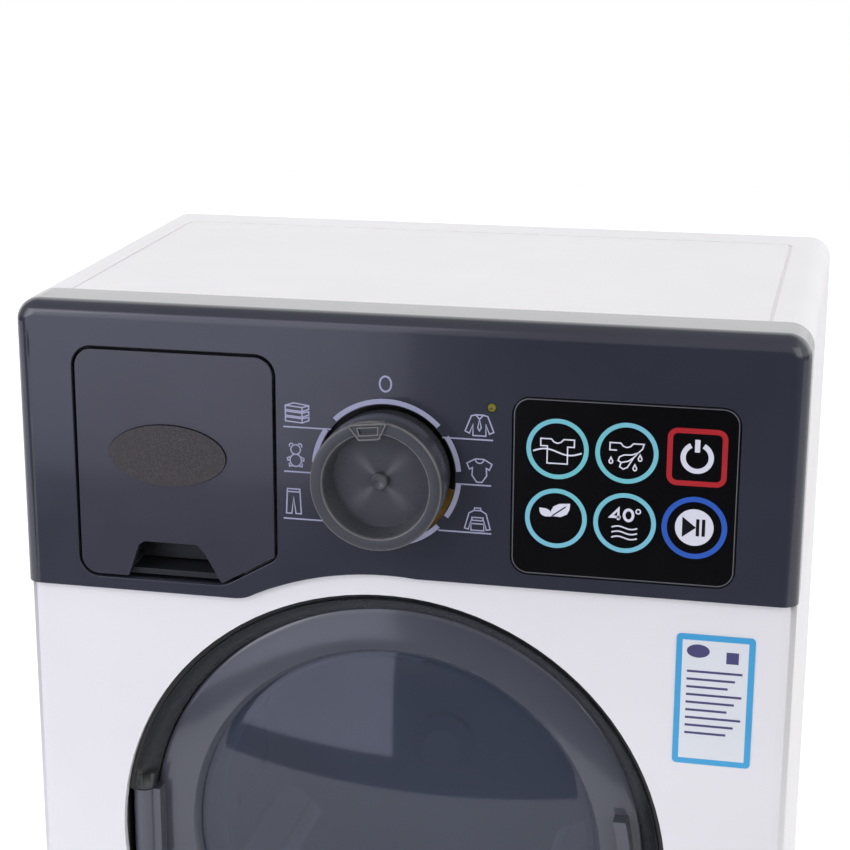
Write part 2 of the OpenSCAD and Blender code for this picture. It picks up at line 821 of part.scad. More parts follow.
module control_panel() color([0.23, 0.24, 0.29]) {
    difference() {
        union() {
            difference() {
                intersection() {
                    soft_block(face_y, seam_y, panel_edge_r, true);
                    plate(face_y, panel_d) panel_outline();
                }
                plate(face_y + wall, panel_d)
                    intersection() {
                        case_outline(wall);
                        panel_outline(wall);
                    }
                plate(carrier_y - seam_gap, panel_d) case_outline(wall);
            }
            for (p = post_at)
                bar(p.x, face_y + wall / 2, p.y, carrier_y - face_y - wall / 2, post_r);
            plate(face_y + wall / 2, dial_board_y - face_y - wall / 2)
                difference() {
                    translate([dial_x, dial_z]) circle(dial_rib_out);
                    translate([dial_x, dial_z]) circle(dial_rib_in);
                }
            for (p = peg_at)
                bar(p.x, face_y + wall / 2, p.y, wall / 2 + board_t + 1, peg_r);
        }
        plate(face_y - over, wall + 2 * over) drawer_outline(-drawer_gap);
        bar(dial_x, face_y - over, dial_z, wall + 2 * over, dial_hole_r);
        plate(face_y - over, touch_seat + over)
            translate([touch_x, touch_z])
                rounded_rect([touch_w + 2 * touch_gap, touch_h + 2 * touch_gap], touch_r);
        bar(led_x, face_y - over, led_z, wall + 2 * over, led_r + 0.1);
        for (p = post_at)
            bar(p.x, carrier_y - thread_len - 1, p.y, thread_len + 1 + over, screw_hole_r);
    }
}

module panel_screws() color("silver") {
    for (p = post_at)
        screw(p.x, seam_y, p.y, carrier_t + thread_len);
}

module touch_plate() color([0.05, 0.05, 0.06]) {
    plate(face_y + touch_seat - touch_t - 0.05, touch_t)
        translate([touch_x, touch_z]) rounded_rect([touch_w, touch_h], touch_r);
}

// Board under the touch plate, on the panel's pegs
module touch_board() color("darkgreen") {
    plate(board_y, board_t)
        difference() {
            translate([(touch_board_x0 + touch_board_x1) / 2, touch_z])
                rounded_rect([touch_board_x1 - touch_board_x0, touch_board_h], 1);
            for (p = peg_at)
                translate(p) circle(peg_r + fit_gap);
        }
}

module status_led() color("olive") {
    bar(led_x, face_y + 0.3, led_z, board_y - face_y - 0.3, led_r);
    translate([led_x, face_y + 0.3, led_z]) sphere(led_r);
}

// Detergent drawer

// Front view of the drawer, drawn in by g: a rounded plate with one slanted corner
module drawer_outline(g = 0) {
    slant = [drawer_cut_w, drawer_cut_h] / norm([drawer_cut_w, drawer_cut_h]);
    start = [drawer_right - drawer_cut_w, drawer_floor] + g * [-slant.y, slant.x];
    far = 20;
    difference() {
        translate([drawer_x, drawer_z])
            rounded_rect([drawer_w - 2 * g, drawer_h - 2 * g], max(drawer_r - g, 0.6));
        polygon([start - far * slant, start + 2 * far * slant, start + far * [slant.y + slant.x, -slant.x]]);
    }
}

// Finger notch at the foot of the drawer's front
module notch_outline() {
    w = notch_share * drawer_w;
    left = drawer_right - drawer_cut_w - w;
    shape = [
        [0, -over], [0.13, notch_h - 0.9], [0.19, notch_h],
        [0.74, notch_h], [0.82, notch_h - 2.3], [1, -over],
    ];
    polygon([for (p = shape) [left + p.x * w, drawer_floor + p.y]]);
}

module drawer_front() color([0.25, 0.26, 0.31]) {
    difference() {
        union() {
            plate(face_y, drawer_t) drawer_outline();
            plate(face_y + drawer_t / 2, skirt_d - drawer_t / 2)
                difference() {
                    drawer_outline(skirt_in);
                    drawer_outline(skirt_in + tray_wall);
                }
        }
        plate(face_y - over, skirt_d + 2 * over) notch_outline();
        plate(face_y - over, badge_sink + over) badge_outline(0.1);
    }
}

// Tray with one long and two short compartments
module drawer_tray() color([0.2, 0.2, 0.24]) {
    mid = drawer_x - tray_divider_off;
    cross_y = tray_y + tray_len * tray_cross_share;
    end_y = tray_y + tray_len;
    difference() {
        plate(tray_y, tray_len)
            intersection() {
                drawer_outline(skirt_in);
                translate([drawer_left, drawer_floor]) square([drawer_w, tray_top - drawer_floor]);
            }
        plate(tray_y + tray_wall, tray_len - 2 * tray_wall) tray_hollow(drawer_left, mid);
        plate(tray_y + tray_wall, cross_y - tray_y - tray_wall) tray_hollow(mid + tray_wall, drawer_right);
        plate(cross_y + tray_wall, end_y - cross_y - 2 * tray_wall)
            tray_hollow(mid + tray_wall, drawer_right);
    }
}

// Front view of the hollow of a compartment between x0 and x1, open at the top
module tray_hollow(x0, x1) {
    intersection() {
        union() {
            drawer_outline(skirt_in + tray_wall);
            translate([drawer_left + skirt_in + tray_wall, drawer_z])
                square([drawer_w - 2 * skirt_in - 2 * tray_wall, drawer_h]);
        }
        translate([x0, drawer_floor]) square([x1 - x0, drawer_h + over]);
    }
}

module badge_outline(g = 0) {
    translate([drawer_x + badge_shift.x, drawer_z + badge_shift.y])
        polygon([for (t = [0:6:354]) [(badge_rx + g) * cos(t), (badge_rz + g) * sin(t)]]);
}

module drawer_badge() color([0.2, 0.18, 0.19]) {
    plate(face_y + badge_sink - badge_t, badge_t) badge_outline();
}

// Sleeve that the tray slides in, with two ears that are screwed to the carrier
module drawer_housing() color([0.17, 0.17, 0.2]) {
    difference() {
        union() {
            plate(housing_y, housing_end - housing_y) drawer_outline(housing_out);
            for (p = housing_ear_at) {
                bar(p.x, seam_y + 0.1, p.y, housing_ear, housing_ear_r);
                translate([min(p.x, drawer_x), seam_y + 0.1, p.y - housing_ear_r])
                    cube([abs(p.x - drawer_x), housing_ear, 2 * housing_ear_r]);
            }
        }
        plate(housing_y - over, housing_end - housing_wall - housing_y + over) drawer_outline(housing_in);
        for (p = housing_ear_at)
            bar(p.x, seam_y - over, p.y, housing_ear + 2 * over, screw_hole_r);
    }
}

module housing_screws() color("silver") {
    for (p = housing_ear_at)
        screw(p.x, seam_y + 0.1 + housing_ear, p.y, housing_ear + carrier_t);
}

// Programme dial

// Section of the spindle, a circle with one flat, grown by g
module spindle_outline(g = 0) {
    difference() {
        circle(spindle_r + g);
        translate([-2 * spindle_r, spindle_r * 0.6 + g]) square(4 * spindle_r);
    }
}

module dial_knob() color([0.3, 0.3, 0.34]) {
    len = knob_end_y - knob_face_y;
    floor_y = dish_deep + knob_wall + 0.3;
    difference() {
        union() {
            turned(dial_x, dial_z, knob_face_y)
                polygon(concat(
                    [[0, dish_deep - 0.6 * stud_h], [0.45 * stud_r, dish_deep - stud_h]],
                    [[0.95 * stud_r, dish_deep - stud_h], [1.05 * stud_r, dish_deep - 0.25 * stud_h]],
                    [[dish_r - 1, dish_deep], [dish_r, 0.4], [dish_r + 0.4, 0]],
                    arc([knob_r - 1.2, 1.2], 1.15, -90, 0, 5),
                    [[knob_r, len], [knob_r - knob_wall, len], [knob_r - knob_wall, floor_y]],
                    [[spindle_r + 2.5, floor_y], [spindle_r + 2.5, len - 0.5], [0, len - 0.5]]
                ));
            plate(knob_y, pointer_h + 2)
                dial_place() pointer_outline();
        }
        plate(knob_y - over, over + 0.5)
            dial_place()
                translate([0, (dish_r + knob_r) / 2 + 0.2])
                    rounded_rect([pointer_tip_w - 1, (knob_r - dish_r) / 2], pointer_r - 0.1);
        plate(spindle_y, spindle_end_y - spindle_y)
            dial_place() spindle_outline(fit_gap);
    }
}

// Places a shape on the dial's axis, turned with the knob
module dial_place() {
    translate([dial_x, dial_z]) rotate(dial_rest_turn) children();
}

// Pointer across the knob's rim, wider at the outside
module pointer_outline() {
    out = knob_r - 0.3;
    in = dish_r - 1.2;
    far = [pointer_w / 2 - pointer_r, out - pointer_r - 0.5];
    near = [pointer_tip_w / 2 - pointer_r, in + pointer_r];
    polygon(concat(
        arc([-far.x, far.y], pointer_r, 180, 90, 3), arc(far, pointer_r, 90, 0, 3),
        arc(near, pointer_r, 0, -90, 3), arc([-near.x, near.y], pointer_r, -90, -180, 3)
    ));
}

module dial_spindle() color("gainsboro") {
    flat_end = face_y + 1;
    plate(spindle_y + 0.1, flat_end - spindle_y - 0.1)
        dial_place() spindle_outline();
    bar(dial_x, flat_end, dial_z, spindle_end_y - flat_end, spindle_r);
}

// Brass leaf under the knob with three arms whose dimples run over the contacts
module dial_wiper() color("goldenrod") {
    y = knob_end_y - 0.45;
    plate(y, 0.3)
        dial_place()
            difference() {
                union() {
                    circle(spindle_r + 2.4);
                    for (t = wiper_turns)
                        rotate(t)
                            translate([0, -wiper_arm_w / 2]) square([knob_r - knob_wall - 1, wiper_arm_w]);
                }
                circle(spindle_r + fit_gap);
            }
    for (t = wiper_turns)
        bar(dial_x + track_r * cos(t + dial_rest_turn), y, dial_z + track_r * sin(t + dial_rest_turn),
            dial_board_y - y - 0.45, dimple_r);
}

module dial_board() color("darkgreen") {
    plate(dial_board_y + 0.05, dial_board_t)
        difference() {
            translate([dial_x, dial_z]) circle(dial_rib_out);
            translate([dial_x, dial_z]) circle(spindle_r + 0.5);
        }
}

// Ring that the wiper runs on, and one arc at lower right that shows in the gap round the knob
module dial_contacts() color("goldenrod") {
    plate(dial_board_y - 0.2, 0.25)
        translate([dial_x, dial_z]) {
            difference() {
                circle(track_r + track_w / 2);
                circle(track_r - track_w / 2);
            }
            intersection() {
                difference() {
                    circle(dial_rib_in - 0.2);
                    circle(track_r + track_w / 2 + 1.2);
                }
                wedge(3 * knob_r, -68, -17);
            }
        }
}

module dial_bush() color("white") {
    difference() {
        union() {
            bar(dial_x, carrier_y - bush_flange_t, dial_z, bush_flange_t - 0.05, bush_r + 2);
            bar(dial_x, carrier_y - bush_flange_t, dial_z, bush_end_y - carrier_y + bush_flange_t, bush_r);
        }
        bar(dial_x, carrier_y - bush_flange_t - over, dial_z,
            bush_end_y - carrier_y + bush_flange_t + 2 * over, spindle_r + run_gap);
    }
}

// Open ring that keeps the spindle in its bush
module dial_clip() color("silver") {
    plate(bush_end_y + 0.1, 0.8)
        dial_place()
            difference() {
                circle(spindle_r + 2);
                circle(spindle_r + fit_gap);
                translate([-spindle_r * 0.6, 0]) square([spindle_r * 1.2, 2 * spindle_r]);
            }
}

// Door bezel: flared ring in the white front, with the landing and the collar round the drum
module door_bezel() color([0.16, 0.17, 0.2]) {
    difference() {
        union() {
            bezel_body();
            for (s = [-1, 1])
                hinge_ear(s);
        }
        translate([hinge_x, hinge_y, door_z - hinge_pocket - ear_len - over])
            cylinder(h = 2 * (hinge_pocket + ear_len + over), r = pin_r + fit_gap);
    }
}

// Turned body of the bezel with its four ears, the cup round the hinge and the slot for the tongue
module bezel_body() {
    difference() {
        union() {
            turned(door_x, door_z, cover_y)
                polygon([
                    [door_hole_r - seam_gap, bezel_groove], [bezel_lip.x + 0.4, bezel_groove], bezel_lip,
                    [recess_r, door_sink], [recess_r, landing_y - cover_y],
                    [landing_r, landing_y - cover_y], [landing_r, landing_y - cover_y + landing_t],
                    [collar_r, landing_y - cover_y + landing_t], [collar_r, landing_y - cover_y + collar_h],
                    [collar_r + collar_t, landing_y - cover_y + collar_h],
                    [collar_r + collar_t, landing_y - cover_y + landing_t],
                    [recess_r + bezel_wall, landing_y - cover_y + landing_t],
                    [recess_r + bezel_wall, door_sink + 1], [bezel_lip.x, wall + 2],
                    [flange_out_r, wall + 2], [flange_out_r, wall + 0.05],
                    [door_hole_r - seam_gap, wall + 0.05],
                ]);
            difference() {
                for (t = bezel_ear_turns)
                    bezel_ear(t);
                bar(door_x, cover_y, door_z, cover_d, recess_r + 1);
            }
            hinge_cup();
        }
        hinge_room();
        for (t = bezel_ear_turns)
            bar(door_x + bezel_ear_r * cos(t), bezel_ear_y - over, door_z + bezel_ear_r * sin(t),
                bezel_ear_t + 2 * over, screw_hole_r);
        translate([tongue_x - 0.4, door_back_y, door_z - tongue_w / 2 - 0.5])
            cube([tongue_t + 2.4, landing_t + over + 2, tongue_w + 1]);
    }
}

// Ear that carries a screw of the bezel, at the angle t
module bezel_ear(t) {
    plate(bezel_ear_y + 0.1, bezel_ear_t)
        translate([door_x, door_z])
            rotate(t) {
                translate([bezel_ear_r, 0]) circle(ear_r);
                translate([recess_r, -ear_r]) square([bezel_ear_r - recess_r, 2 * ear_r]);
            }
}

// Closed box behind the hinge, before its hollow is cut
module hinge_cup() {
    difference() {
        translate([hinge_room_side - hinge_cup_wall, hinge_cup_y, door_z - hinge_pocket - ear_len])
            cube([door_x - door_r + 2 - hinge_room_side, hinge_room_y + wall - hinge_cup_y,
                2 * (hinge_pocket + ear_len)]);
        bar(door_x, cover_y, door_z, cover_d + 10, recess_r);
    }
}

// Room in the bezel for the door's knuckle
module hinge_room() {
    translate([hinge_room_side, cover_y - over, door_z - hinge_pocket])
        cube([door_x - door_r + 2.4 - hinge_room_side, hinge_room_y - cover_y + over, 2 * hinge_pocket]);
}

// Ear at one end of the hinge
module hinge_ear(s) {
    z0 = door_z + (s > 0 ? hinge_pocket : -hinge_pocket - ear_len);
    translate([hinge_x, hinge_y, z0]) cylinder(h = ear_len, r = knuckle_r + 0.2);
    translate([hinge_x - knuckle_r - 0.2, hinge_y, z0]) cube([knuckle_r * 2, hinge_ear_back, ear_len]);
}

module bezel_screws() color("silver") {
    for (t = bezel_ear_turns)
        screw(door_x + bezel_ear_r * cos(t), bezel_ear_y + 0.1 + bezel_ear_t, door_z + bezel_ear_r * sin(t),
            bezel_ear_t + bezel_thread);
}

// Door

module door_ring() color([0.42, 0.44, 0.52]) {
    face_in = window_r + ring_bevel;
    face_out = door_r + ring_lip - 0.4;
    turn = asin((face_out - face_in) / 2 / crown_r / cos(ring_tilt));
    crown = [
        (face_in + face_out) / 2 - crown_r * sin(ring_tilt) * cos(turn), crown_r * cos(ring_tilt - turn)
    ];
    difference() {
        union() {
            turned(door_x, door_z, door_y)
                polygon(concat(
                    arc(crown, crown_r, ring_tilt - turn - 90, ring_tilt + turn - 90, 10),
                    [[door_r + ring_lip, 1.4], [door_r + ring_lip, 2.6], [door_r, 3.2], [door_r, door_t]],
                    [[door_r - door_wall, door_t], [door_r - door_wall, 2.4]],
                    [[window_r, 2.4], [window_r, 1.8]]
                ));
            for (t = door_screw_turns)
                bar(door_x + door_screw_r * cos(t), door_y + 1.8, door_z + door_screw_r * sin(t),
                    inner_ring_y - door_y - 1.8, door_post_r);
            translate([tongue_x, door_back_y, door_z - tongue_w / 2]) cube([tongue_t, tongue_len, tongue_w]);
            knuckle();
            door_grip();
        }
        translate([hinge_x, hinge_y, door_z - knuckle_len / 2 - over])
            cylinder(h = knuckle_len + 2 * over, r = pin_r + run_gap);
        for (t = door_screw_turns)
            bar(door_x + door_screw_r * cos(t), door_y + 1.4, door_z + door_screw_r * sin(t), door_t,
                door_screw_thread_r + 0.05);
    }
}

// Barrel of the hinge and the arm that joins it to the ring
module knuckle() {
    translate([hinge_x, hinge_y, door_z - knuckle_len / 2]) cylinder(h = knuckle_len, r = knuckle_r);
    translate([hinge_x, hinge_y - 1, door_z - knuckle_len / 2])
        cube([door_x - door_r + 2 - hinge_x, 5, knuckle_len]);
}

// Raised grip on the right of the ring, curved with it
module door_grip() {
    plate(door_y - grip_reach, grip_reach + 1.5)
        intersection() {
            translate([door_x, door_z])
                difference() {
                    circle(door_r - grip_in);
                    circle(door_r - grip_in - grip_w);
                }
            translate([door_x + window_r, door_z - grip_h / 2]) square([door_rim_w, grip_h]);
        }
}

module door_window() color([0.5, 0.55, 0.62, 0.5]) {
    rim = window_r - 0.4;
    ball = (rim * rim + dome_h * dome_h) / (2 * dome_h);
    spread = asin(rim / ball);
    turned(door_x, door_z, window_y)
        polygon(concat(
            arc([0, ball - dome_h], ball, -90, -90 + spread, 14),
            [[window_r + 4.1, 0], [window_r + 4.1, 2], [rim, window_t + 0.2]],
            arc([0, ball - dome_h], ball - window_t, -90 + spread, -90, 14)
        ));
}

// Ring that clamps the window from behind
module door_inner_ring() color("gainsboro") {
    len = door_back_y - inner_ring_y;
    difference() {
        turned(door_x, door_z, inner_ring_y)
            polygon([
                [window_r - inner_ring_lip, 0], [inner_ring_r, 0], [inner_ring_r, len],
                [window_r, len], [window_r - inner_ring_lip, len - inner_ring_lip],
            ]);
        for (t = door_screw_turns) {
            bar(door_x + door_screw_r * cos(t), inner_ring_y - over, door_z + door_screw_r * sin(t),
                len + 2 * over, door_screw_thread_r + 0.05);
            bar(door_x + door_screw_r * cos(t), inner_ring_y + 1.6, door_z + door_screw_r * sin(t), len,
                door_screw_head + 0.15);
        }
    }
}

module door_screws() color("silver") {
    for (t = door_screw_turns) {
        bar(door_x + door_screw_r * cos(t), door_y + 1.6, door_z + door_screw_r * sin(t),
            inner_ring_y - door_y, door_screw_thread_r);
        bar(door_x + door_screw_r * cos(t), inner_ring_y + 1.6, door_z + door_screw_r * sin(t), 1.2,
            door_screw_head);
    }
}

module door_hinge_pin() color("silver") {
    len = 2 * (hinge_pocket + ear_len);
    translate([hinge_x, hinge_y, door_z - len / 2]) cylinder(h = len, r = pin_r);
}

// Clip behind the landing whose two jaws hold the door's tongue
module door_catch() color("white") {
    y0 = landing_y + landing_t + 0.05;
    difference() {
        translate([tongue_x - catch_wall, y0, door_z - catch_h / 2])
            cube([tongue_t + 2 * catch_wall + 2.3, catch_d, catch_h]);
        translate([tongue_x - 0.3, y0 - over, door_z - tongue_w / 2 - 0.3])
            cube([tongue_t + 1.7, catch_d + 2 * over, tongue_w + 0.6]);
    }
}

// Drum and lifters

module drum() color("silver") {
    row = (drum_len - 2 * drum_row_edge) / (drum_rows - 1);
    difference() {
        turned(door_x, door_z, drum_y)
            polygon([
                [mouth_r, 0], [drum_r - 1.5, 0], [drum_r, 1.5],
                [drum_r, drum_len - 3], [drum_r - 3, drum_len],
                [drum_hub_r, drum_len], [drum_hub_r, drum_len + drum_hub_h], [0, drum_len + drum_hub_h],
                [0, drum_len - drum_back_t - drum_boss_h],
                [drum_hub_r - 3, drum_len - drum_back_t - drum_boss_h],
                [drum_hub_r, drum_len - drum_back_t - drum_boss_h + 3], [drum_hub_r, drum_len - drum_back_t],
                [drum_in_r - 3, drum_len - drum_back_t], [drum_in_r, drum_len - drum_back_t - 3],
                [drum_in_r, drum_wall + 0.5], [mouth_r + 0.8, drum_wall + 0.5], [mouth_r, drum_wall - 0.3],
            ]);
        for (k = [0:drum_rows - 1], i = [0:drum_holes - 1])
            if (!under_lifter((i + 0.5) * 360 / drum_holes))
                translate([door_x, drum_y + drum_row_edge + k * row, door_z])
                    rotate([0, -(i + 0.5) * 360 / drum_holes, 0])
                        translate([drum_in_r - over, 0, 0])
                            rotate([0, 90, 0]) cylinder(h = drum_wall + 2 * over, r = drum_hole_r);
        bar(door_x, drum_y + drum_len - drum_back_t - drum_boss_h + 2, door_z,
            drum_back_t + drum_boss_h + drum_hub_h, shaft_r + fit_gap);
    }
}

// True where a lifter covers the drum's wall at the angle a
function under_lifter(a) =
    len([for (t = lifter_turns) if (abs((a - t + 540) % 360 - 180) < 360 / drum_holes * 0.45) t]) > 0;

// Lifter i: a rounded rib that slopes down at both ends
module lifter(i) color("whitesmoke") {
    r = drum_in_r - fit_gap;
    crest = 2.5;
    len = drum_len - drum_wall - 2 - drum_back_t - 3.5;
    intersection() {
        plate(drum_y + drum_wall + 2, len)
            translate([door_x, door_z])
                rotate(lifter_turns[i - 1])
                    intersection() {
                        circle(r);
                        union() {
                            polygon([
                                [r + over, -lifter_w / 2], [r + over, lifter_w / 2], [r - 2.5, lifter_w / 2],
                                [r - lifter_h + crest, crest], [r - lifter_h + crest, -crest],
                                [r - 2.5, -lifter_w / 2],
                            ]);
                            translate([r - lifter_h + crest, 0]) circle(crest);
                        }
                    }
        turned(door_x, door_z, drum_y + drum_wall + 2)
            polygon([
                [r + over, 0], [r - 3, 0], [r - lifter_h, lifter_ramp], [r - lifter_h, len - lifter_tail],
                [r - lifter_h / 2, len], [r + over, len],
            ]);
    }
}

module drum_shaft() color("silver") {
    y0 = drum_back_y - drum_back_t - drum_boss_h + 2.2;
    y1 = gear_y + gear_t + 1.5;
    bar(door_x, y0, door_z, y1 - y0, shaft_r);
}

module drum_bearing() color("goldenrod") {
    difference() {
        union() {
            bar(door_x, support_y - bearing_flange_t, door_z, bearing_flange_t - 0.05, bearing_r + 2);
            bar(door_x, support_y - bearing_flange_t, door_z, bearing_flange_t + bearing_len, bearing_r);
        }
        bar(door_x, support_y - bearing_flange_t - over, door_z, bearing_flange_t + bearing_len + 2 * over,
            shaft_r + run_gap);
    }
}

// Cross-shaped plate screwed to four posts of the rear shell, with the posts of the motor mount
module drum_support() color("gainsboro") {
    difference() {
        union() {
            plate(support_y, support_t)
                translate([door_x, door_z]) {
                    circle(support_hub_r);
                    for (sx = [-1, 1], sz = [-1, 1]) {
                        translate([sx * support_x, sz * support_z]) circle(support_arm_w / 2);
                        rotate(atan2(sz * support_z, sx * support_x))
                            translate([0, -support_arm_w / 2])
                                square([norm([support_x, support_z]), support_arm_w]);
                    }
                    translate([0, -mount_post_z - 4]) square([motor_x - door_x + 4, 2 * mount_post_z + 8]);
                }
            bar(door_x, support_y, door_z, support_t + 3, bearing_r + 2.5);
            for (s = [-1, 1])
                bar(motor_x, support_y, door_z + s * mount_post_z, mount_y - support_y, 3);
        }
        bar(door_x, support_y - over, door_z, support_t + 3 + 2 * over, bearing_r + fit_gap);
        for (sx = [-1, 1], sz = [-1, 1])
            bar(door_x + sx * support_x, support_y - over, door_z + sz * support_z, support_t + 2 * over,
                screw_hole_r);
        for (s = [-1, 1])
            bar(motor_x, mount_y - thread_len - 1, door_z + s * mount_post_z, thread_len + 1 + over,
                screw_hole_r);
    }
}

module support_screws() color("silver") {
    for (sx = [-1, 1], sz = [-1, 1])
        screw(door_x + sx * support_x, support_y, door_z + sz * support_z, support_t + thread_len, true);
}

// Drive

// Half the angle that one tooth of a gear covers at the radius r
function tooth_half(teeth, r) =
    let (rp = gear_m * teeth / 2, rb = rp * cos(gear_angle))
    (90 - 90 * gear_play / (PI * gear_m)) / teeth + involute(rb, rp) - involute(rb, max(r, rb));

// Outline of a spur gear with involute flanks, one tooth on the +X axis
module gear_outline(teeth) {
    rp = gear_m * teeth / 2;
    rb = rp * cos(gear_angle);
    root = rp - 1.1 * gear_m;
    tip = rp + 0.9 * gear_m;
    steps = 4;
    radii = concat(
        root < rb ? [root] : [],
        [for (k = [0:steps]) max(root, rb) + (tip - max(root, rb)) * k / steps]
    );
    last = len(radii) - 1;
    polygon([
        for (t = [0:teeth - 1], k = [0:2 * last + 1])
            let (
                r = radii[k <= last ? k : 2 * last + 1 - k],
                a = t * 360 / teeth + (k <= last ? -1 : 1) * tooth_half(teeth, r)
            ) r * [cos(a), sin(a)]
    ]);
}

module drum_gear() color("white") {
    difference() {
        union() {
            plate(gear_y, gear_t)
                translate([door_x, door_z])
                    difference() {
                        gear_outline(gear_teeth);
                        for (t = [36:72:324])
                            rotate(t) translate([gear_r * 0.6, 0]) circle(gear_r * 0.17);
                    }
            bar(door_x, gear_y - 1, door_z, gear_t + 2, shaft_r + 3);
        }
        bar(door_x, gear_y - 1 - over, door_z, gear_t + 2 + 2 * over, shaft_r + fit_gap);
    }
}

module motor_pinion() color("white") {
    plate(gear_y - 0.5, gear_t + 1)
        difference() {
            translate([motor_x, door_z]) rotate(180 + 180 / pinion_teeth) gear_outline(pinion_teeth);
            translate([motor_x, door_z]) circle(motor_shaft_r + fit_gap);
        }
}

module motor_shaft() color("silver") {
    bar(motor_x, gear_y - 1, door_z, motor_y - gear_y + 0.9, motor_shaft_r);
}

// Can of the motor with two flat sides, its front boss and its rear cap
module drum_motor() color("silver") {
    difference() {
        union() {
            plate(motor_y + 0.05, motor_len - motor_cap_t)
                translate([motor_x, door_z])
                    intersection() {
                        circle(motor_r);
                        square([2 * motor_r, motor_r * 1.5], center = true);
                    }
            plate(motor_y + motor_len - motor_cap_t, motor_cap_t)
                translate([motor_x, door_z])
                    intersection() {
                        circle(motor_r - 0.6);
                        square([2 * motor_r, motor_r * 1.4], center = true);
                    }
            bar(motor_x, mount_y, door_z, mount_t + 1, motor_boss_r);
        }
        bar(motor_x, mount_y - over, door_z, mount_t + over, motor_shaft_r + run_gap);
    }
}

// Plate with a cup for the motor, on the support's two posts
module motor_mount() color("gainsboro") {
    difference() {
        union() {
            plate(mount_y, mount_t)
                translate([motor_x, door_z]) {
                    circle(motor_r + mount_cup_w);
                    for (s = [-1, 1])
                        translate([0, s * mount_post_z]) circle(mount_ear_r);
                    square([2 * mount_ear_r, 2 * mount_post_z], center = true);
                }
            plate(mount_y + mount_t / 2, mount_t / 2 + mount_cup_h)
                translate([motor_x, door_z])
                    difference() {
                        circle(motor_r + mount_cup_w);
                        intersection() {
                            circle(motor_r + 0.2);
                            square([2 * motor_r + 1, motor_r * 1.5 + 0.4], center = true);
                        }
                    }
        }
        bar(motor_x, mount_y - over, door_z, mount_t + 2 * over, motor_boss_r + 0.1);
        for (s = [-1, 1]) {
            bar(motor_x, mount_y - over, door_z + s * mount_post_z, mount_t + 2 * over, screw_hole_r);
            bar(motor_x, motor_y, door_z + s * mount_post_z, mount_cup_h + over, screw_head_r + 0.3);
        }
    }
}

module mount_screws() color("silver") {
    for (s = [-1, 1])
        screw(motor_x, motor_y, door_z + s * mount_post_z, mount_t + thread_len);
}

// Electronics and power

module main_board() color("darkgreen") {
    plate(main_board_y + 0.05, 1.6)
        difference() {
            translate([touch_x, touch_z]) square([main_board_w, main_board_h], center = true);
            for (p = standoff_at)
                translate(p) circle(screw_hole_r);
        }
}

module board_screws() color("silver") {
    for (p = standoff_at)
        screw(p.x, main_board_y + 1.65, p.y, standoff_thread);
}

// Chip under its resin drop, two capacitors and a socket strip on the back of the main board
module board_parts() color("black") {
    y = main_board_y + 1.7;
    chip_r = 6;
    can_r = 3;
    can_len = 9;
    socket = [5, 6, 14];
    turned(touch_x - 0.15 * main_board_w, touch_z, y)
        polygon([[0, 0], [chip_r, 0], [0.83 * chip_r, 1.2], [0.5 * chip_r, 2], [0, 2.3]]);
    for (s = [-1, 1])
        bar(touch_x + 0.17 * main_board_w, y, touch_z + s * 0.18 * main_board_h, can_len, can_r);
    translate([touch_x + 0.29 * main_board_w, y, touch_z - socket.z / 2]) cube(socket);
}

module speaker() color("dimgray") {
    magnet_r = 0.48 * speaker_r;
    magnet_t = 3;
    rim_t = 1.8;
    turned(speaker_x, speaker_z, inside_back_y - speaker_t - 0.05)
        polygon([
            [0, 0], [magnet_r, 0], [magnet_r, magnet_t], [magnet_r + 2.5, magnet_t + 0.4],
            [0.87 * speaker_r, speaker_t - rim_t], [speaker_r, speaker_t - rim_t],
            [speaker_r, speaker_t], [0.85 * speaker_r, speaker_t], [0.65 * speaker_r, speaker_t - 1.6],
            [0.3 * speaker_r, speaker_t - 2.4], [0.25 * speaker_r, speaker_t - 1.4], [0, speaker_t - 1],
        ]);
}

module speaker_screws() color("silver") {
    for (p = speaker_screw_at)
        screw(p.x, inside_back_y - speaker_post_h, p.y, speaker_post_h + 0.8, true);
}

// Battery i of three, which lie the other way round in turn
module battery(i) color("royalblue") {
    s = cell_side(i);
    mid = s * (spring_len - nub_len) / 2;
    translate([mid, cell_y, cell_z(i)])
        rotate([0, 90 * s, 0]) {
            translate([0, 0, -cell_len / 2]) cylinder(h = cell_len, r = cell_r);
            translate([0, 0, -cell_len / 2 - nub_len]) cylinder(h = nub_len + over, r = nub_r);
        }
}

// Plates at both ends of every battery and the springs at the flat ends
module battery_contacts() color("silver") {
    for (i = [1:cells]) {
        s = cell_side(i);
        for (e = [-1, 1])
            translate([e * (bay_w / 2 - contact_t / 2 - 0.05), cell_y, cell_z(i)])
                cube([contact_t, contact_w, contact_w], center = true);
        spring_x = s * (spring_len - nub_len) / 2 + s * (cell_len / 2 + 0.1);
        translate([spring_x, cell_y, cell_z(i)])
            rotate([0, 90 * s, 0])
                cylinder(h = bay_w / 2 - contact_t - abs(spring_x) - 0.04, r1 = spring_tip_r, r2 = spring_r);
    }
}

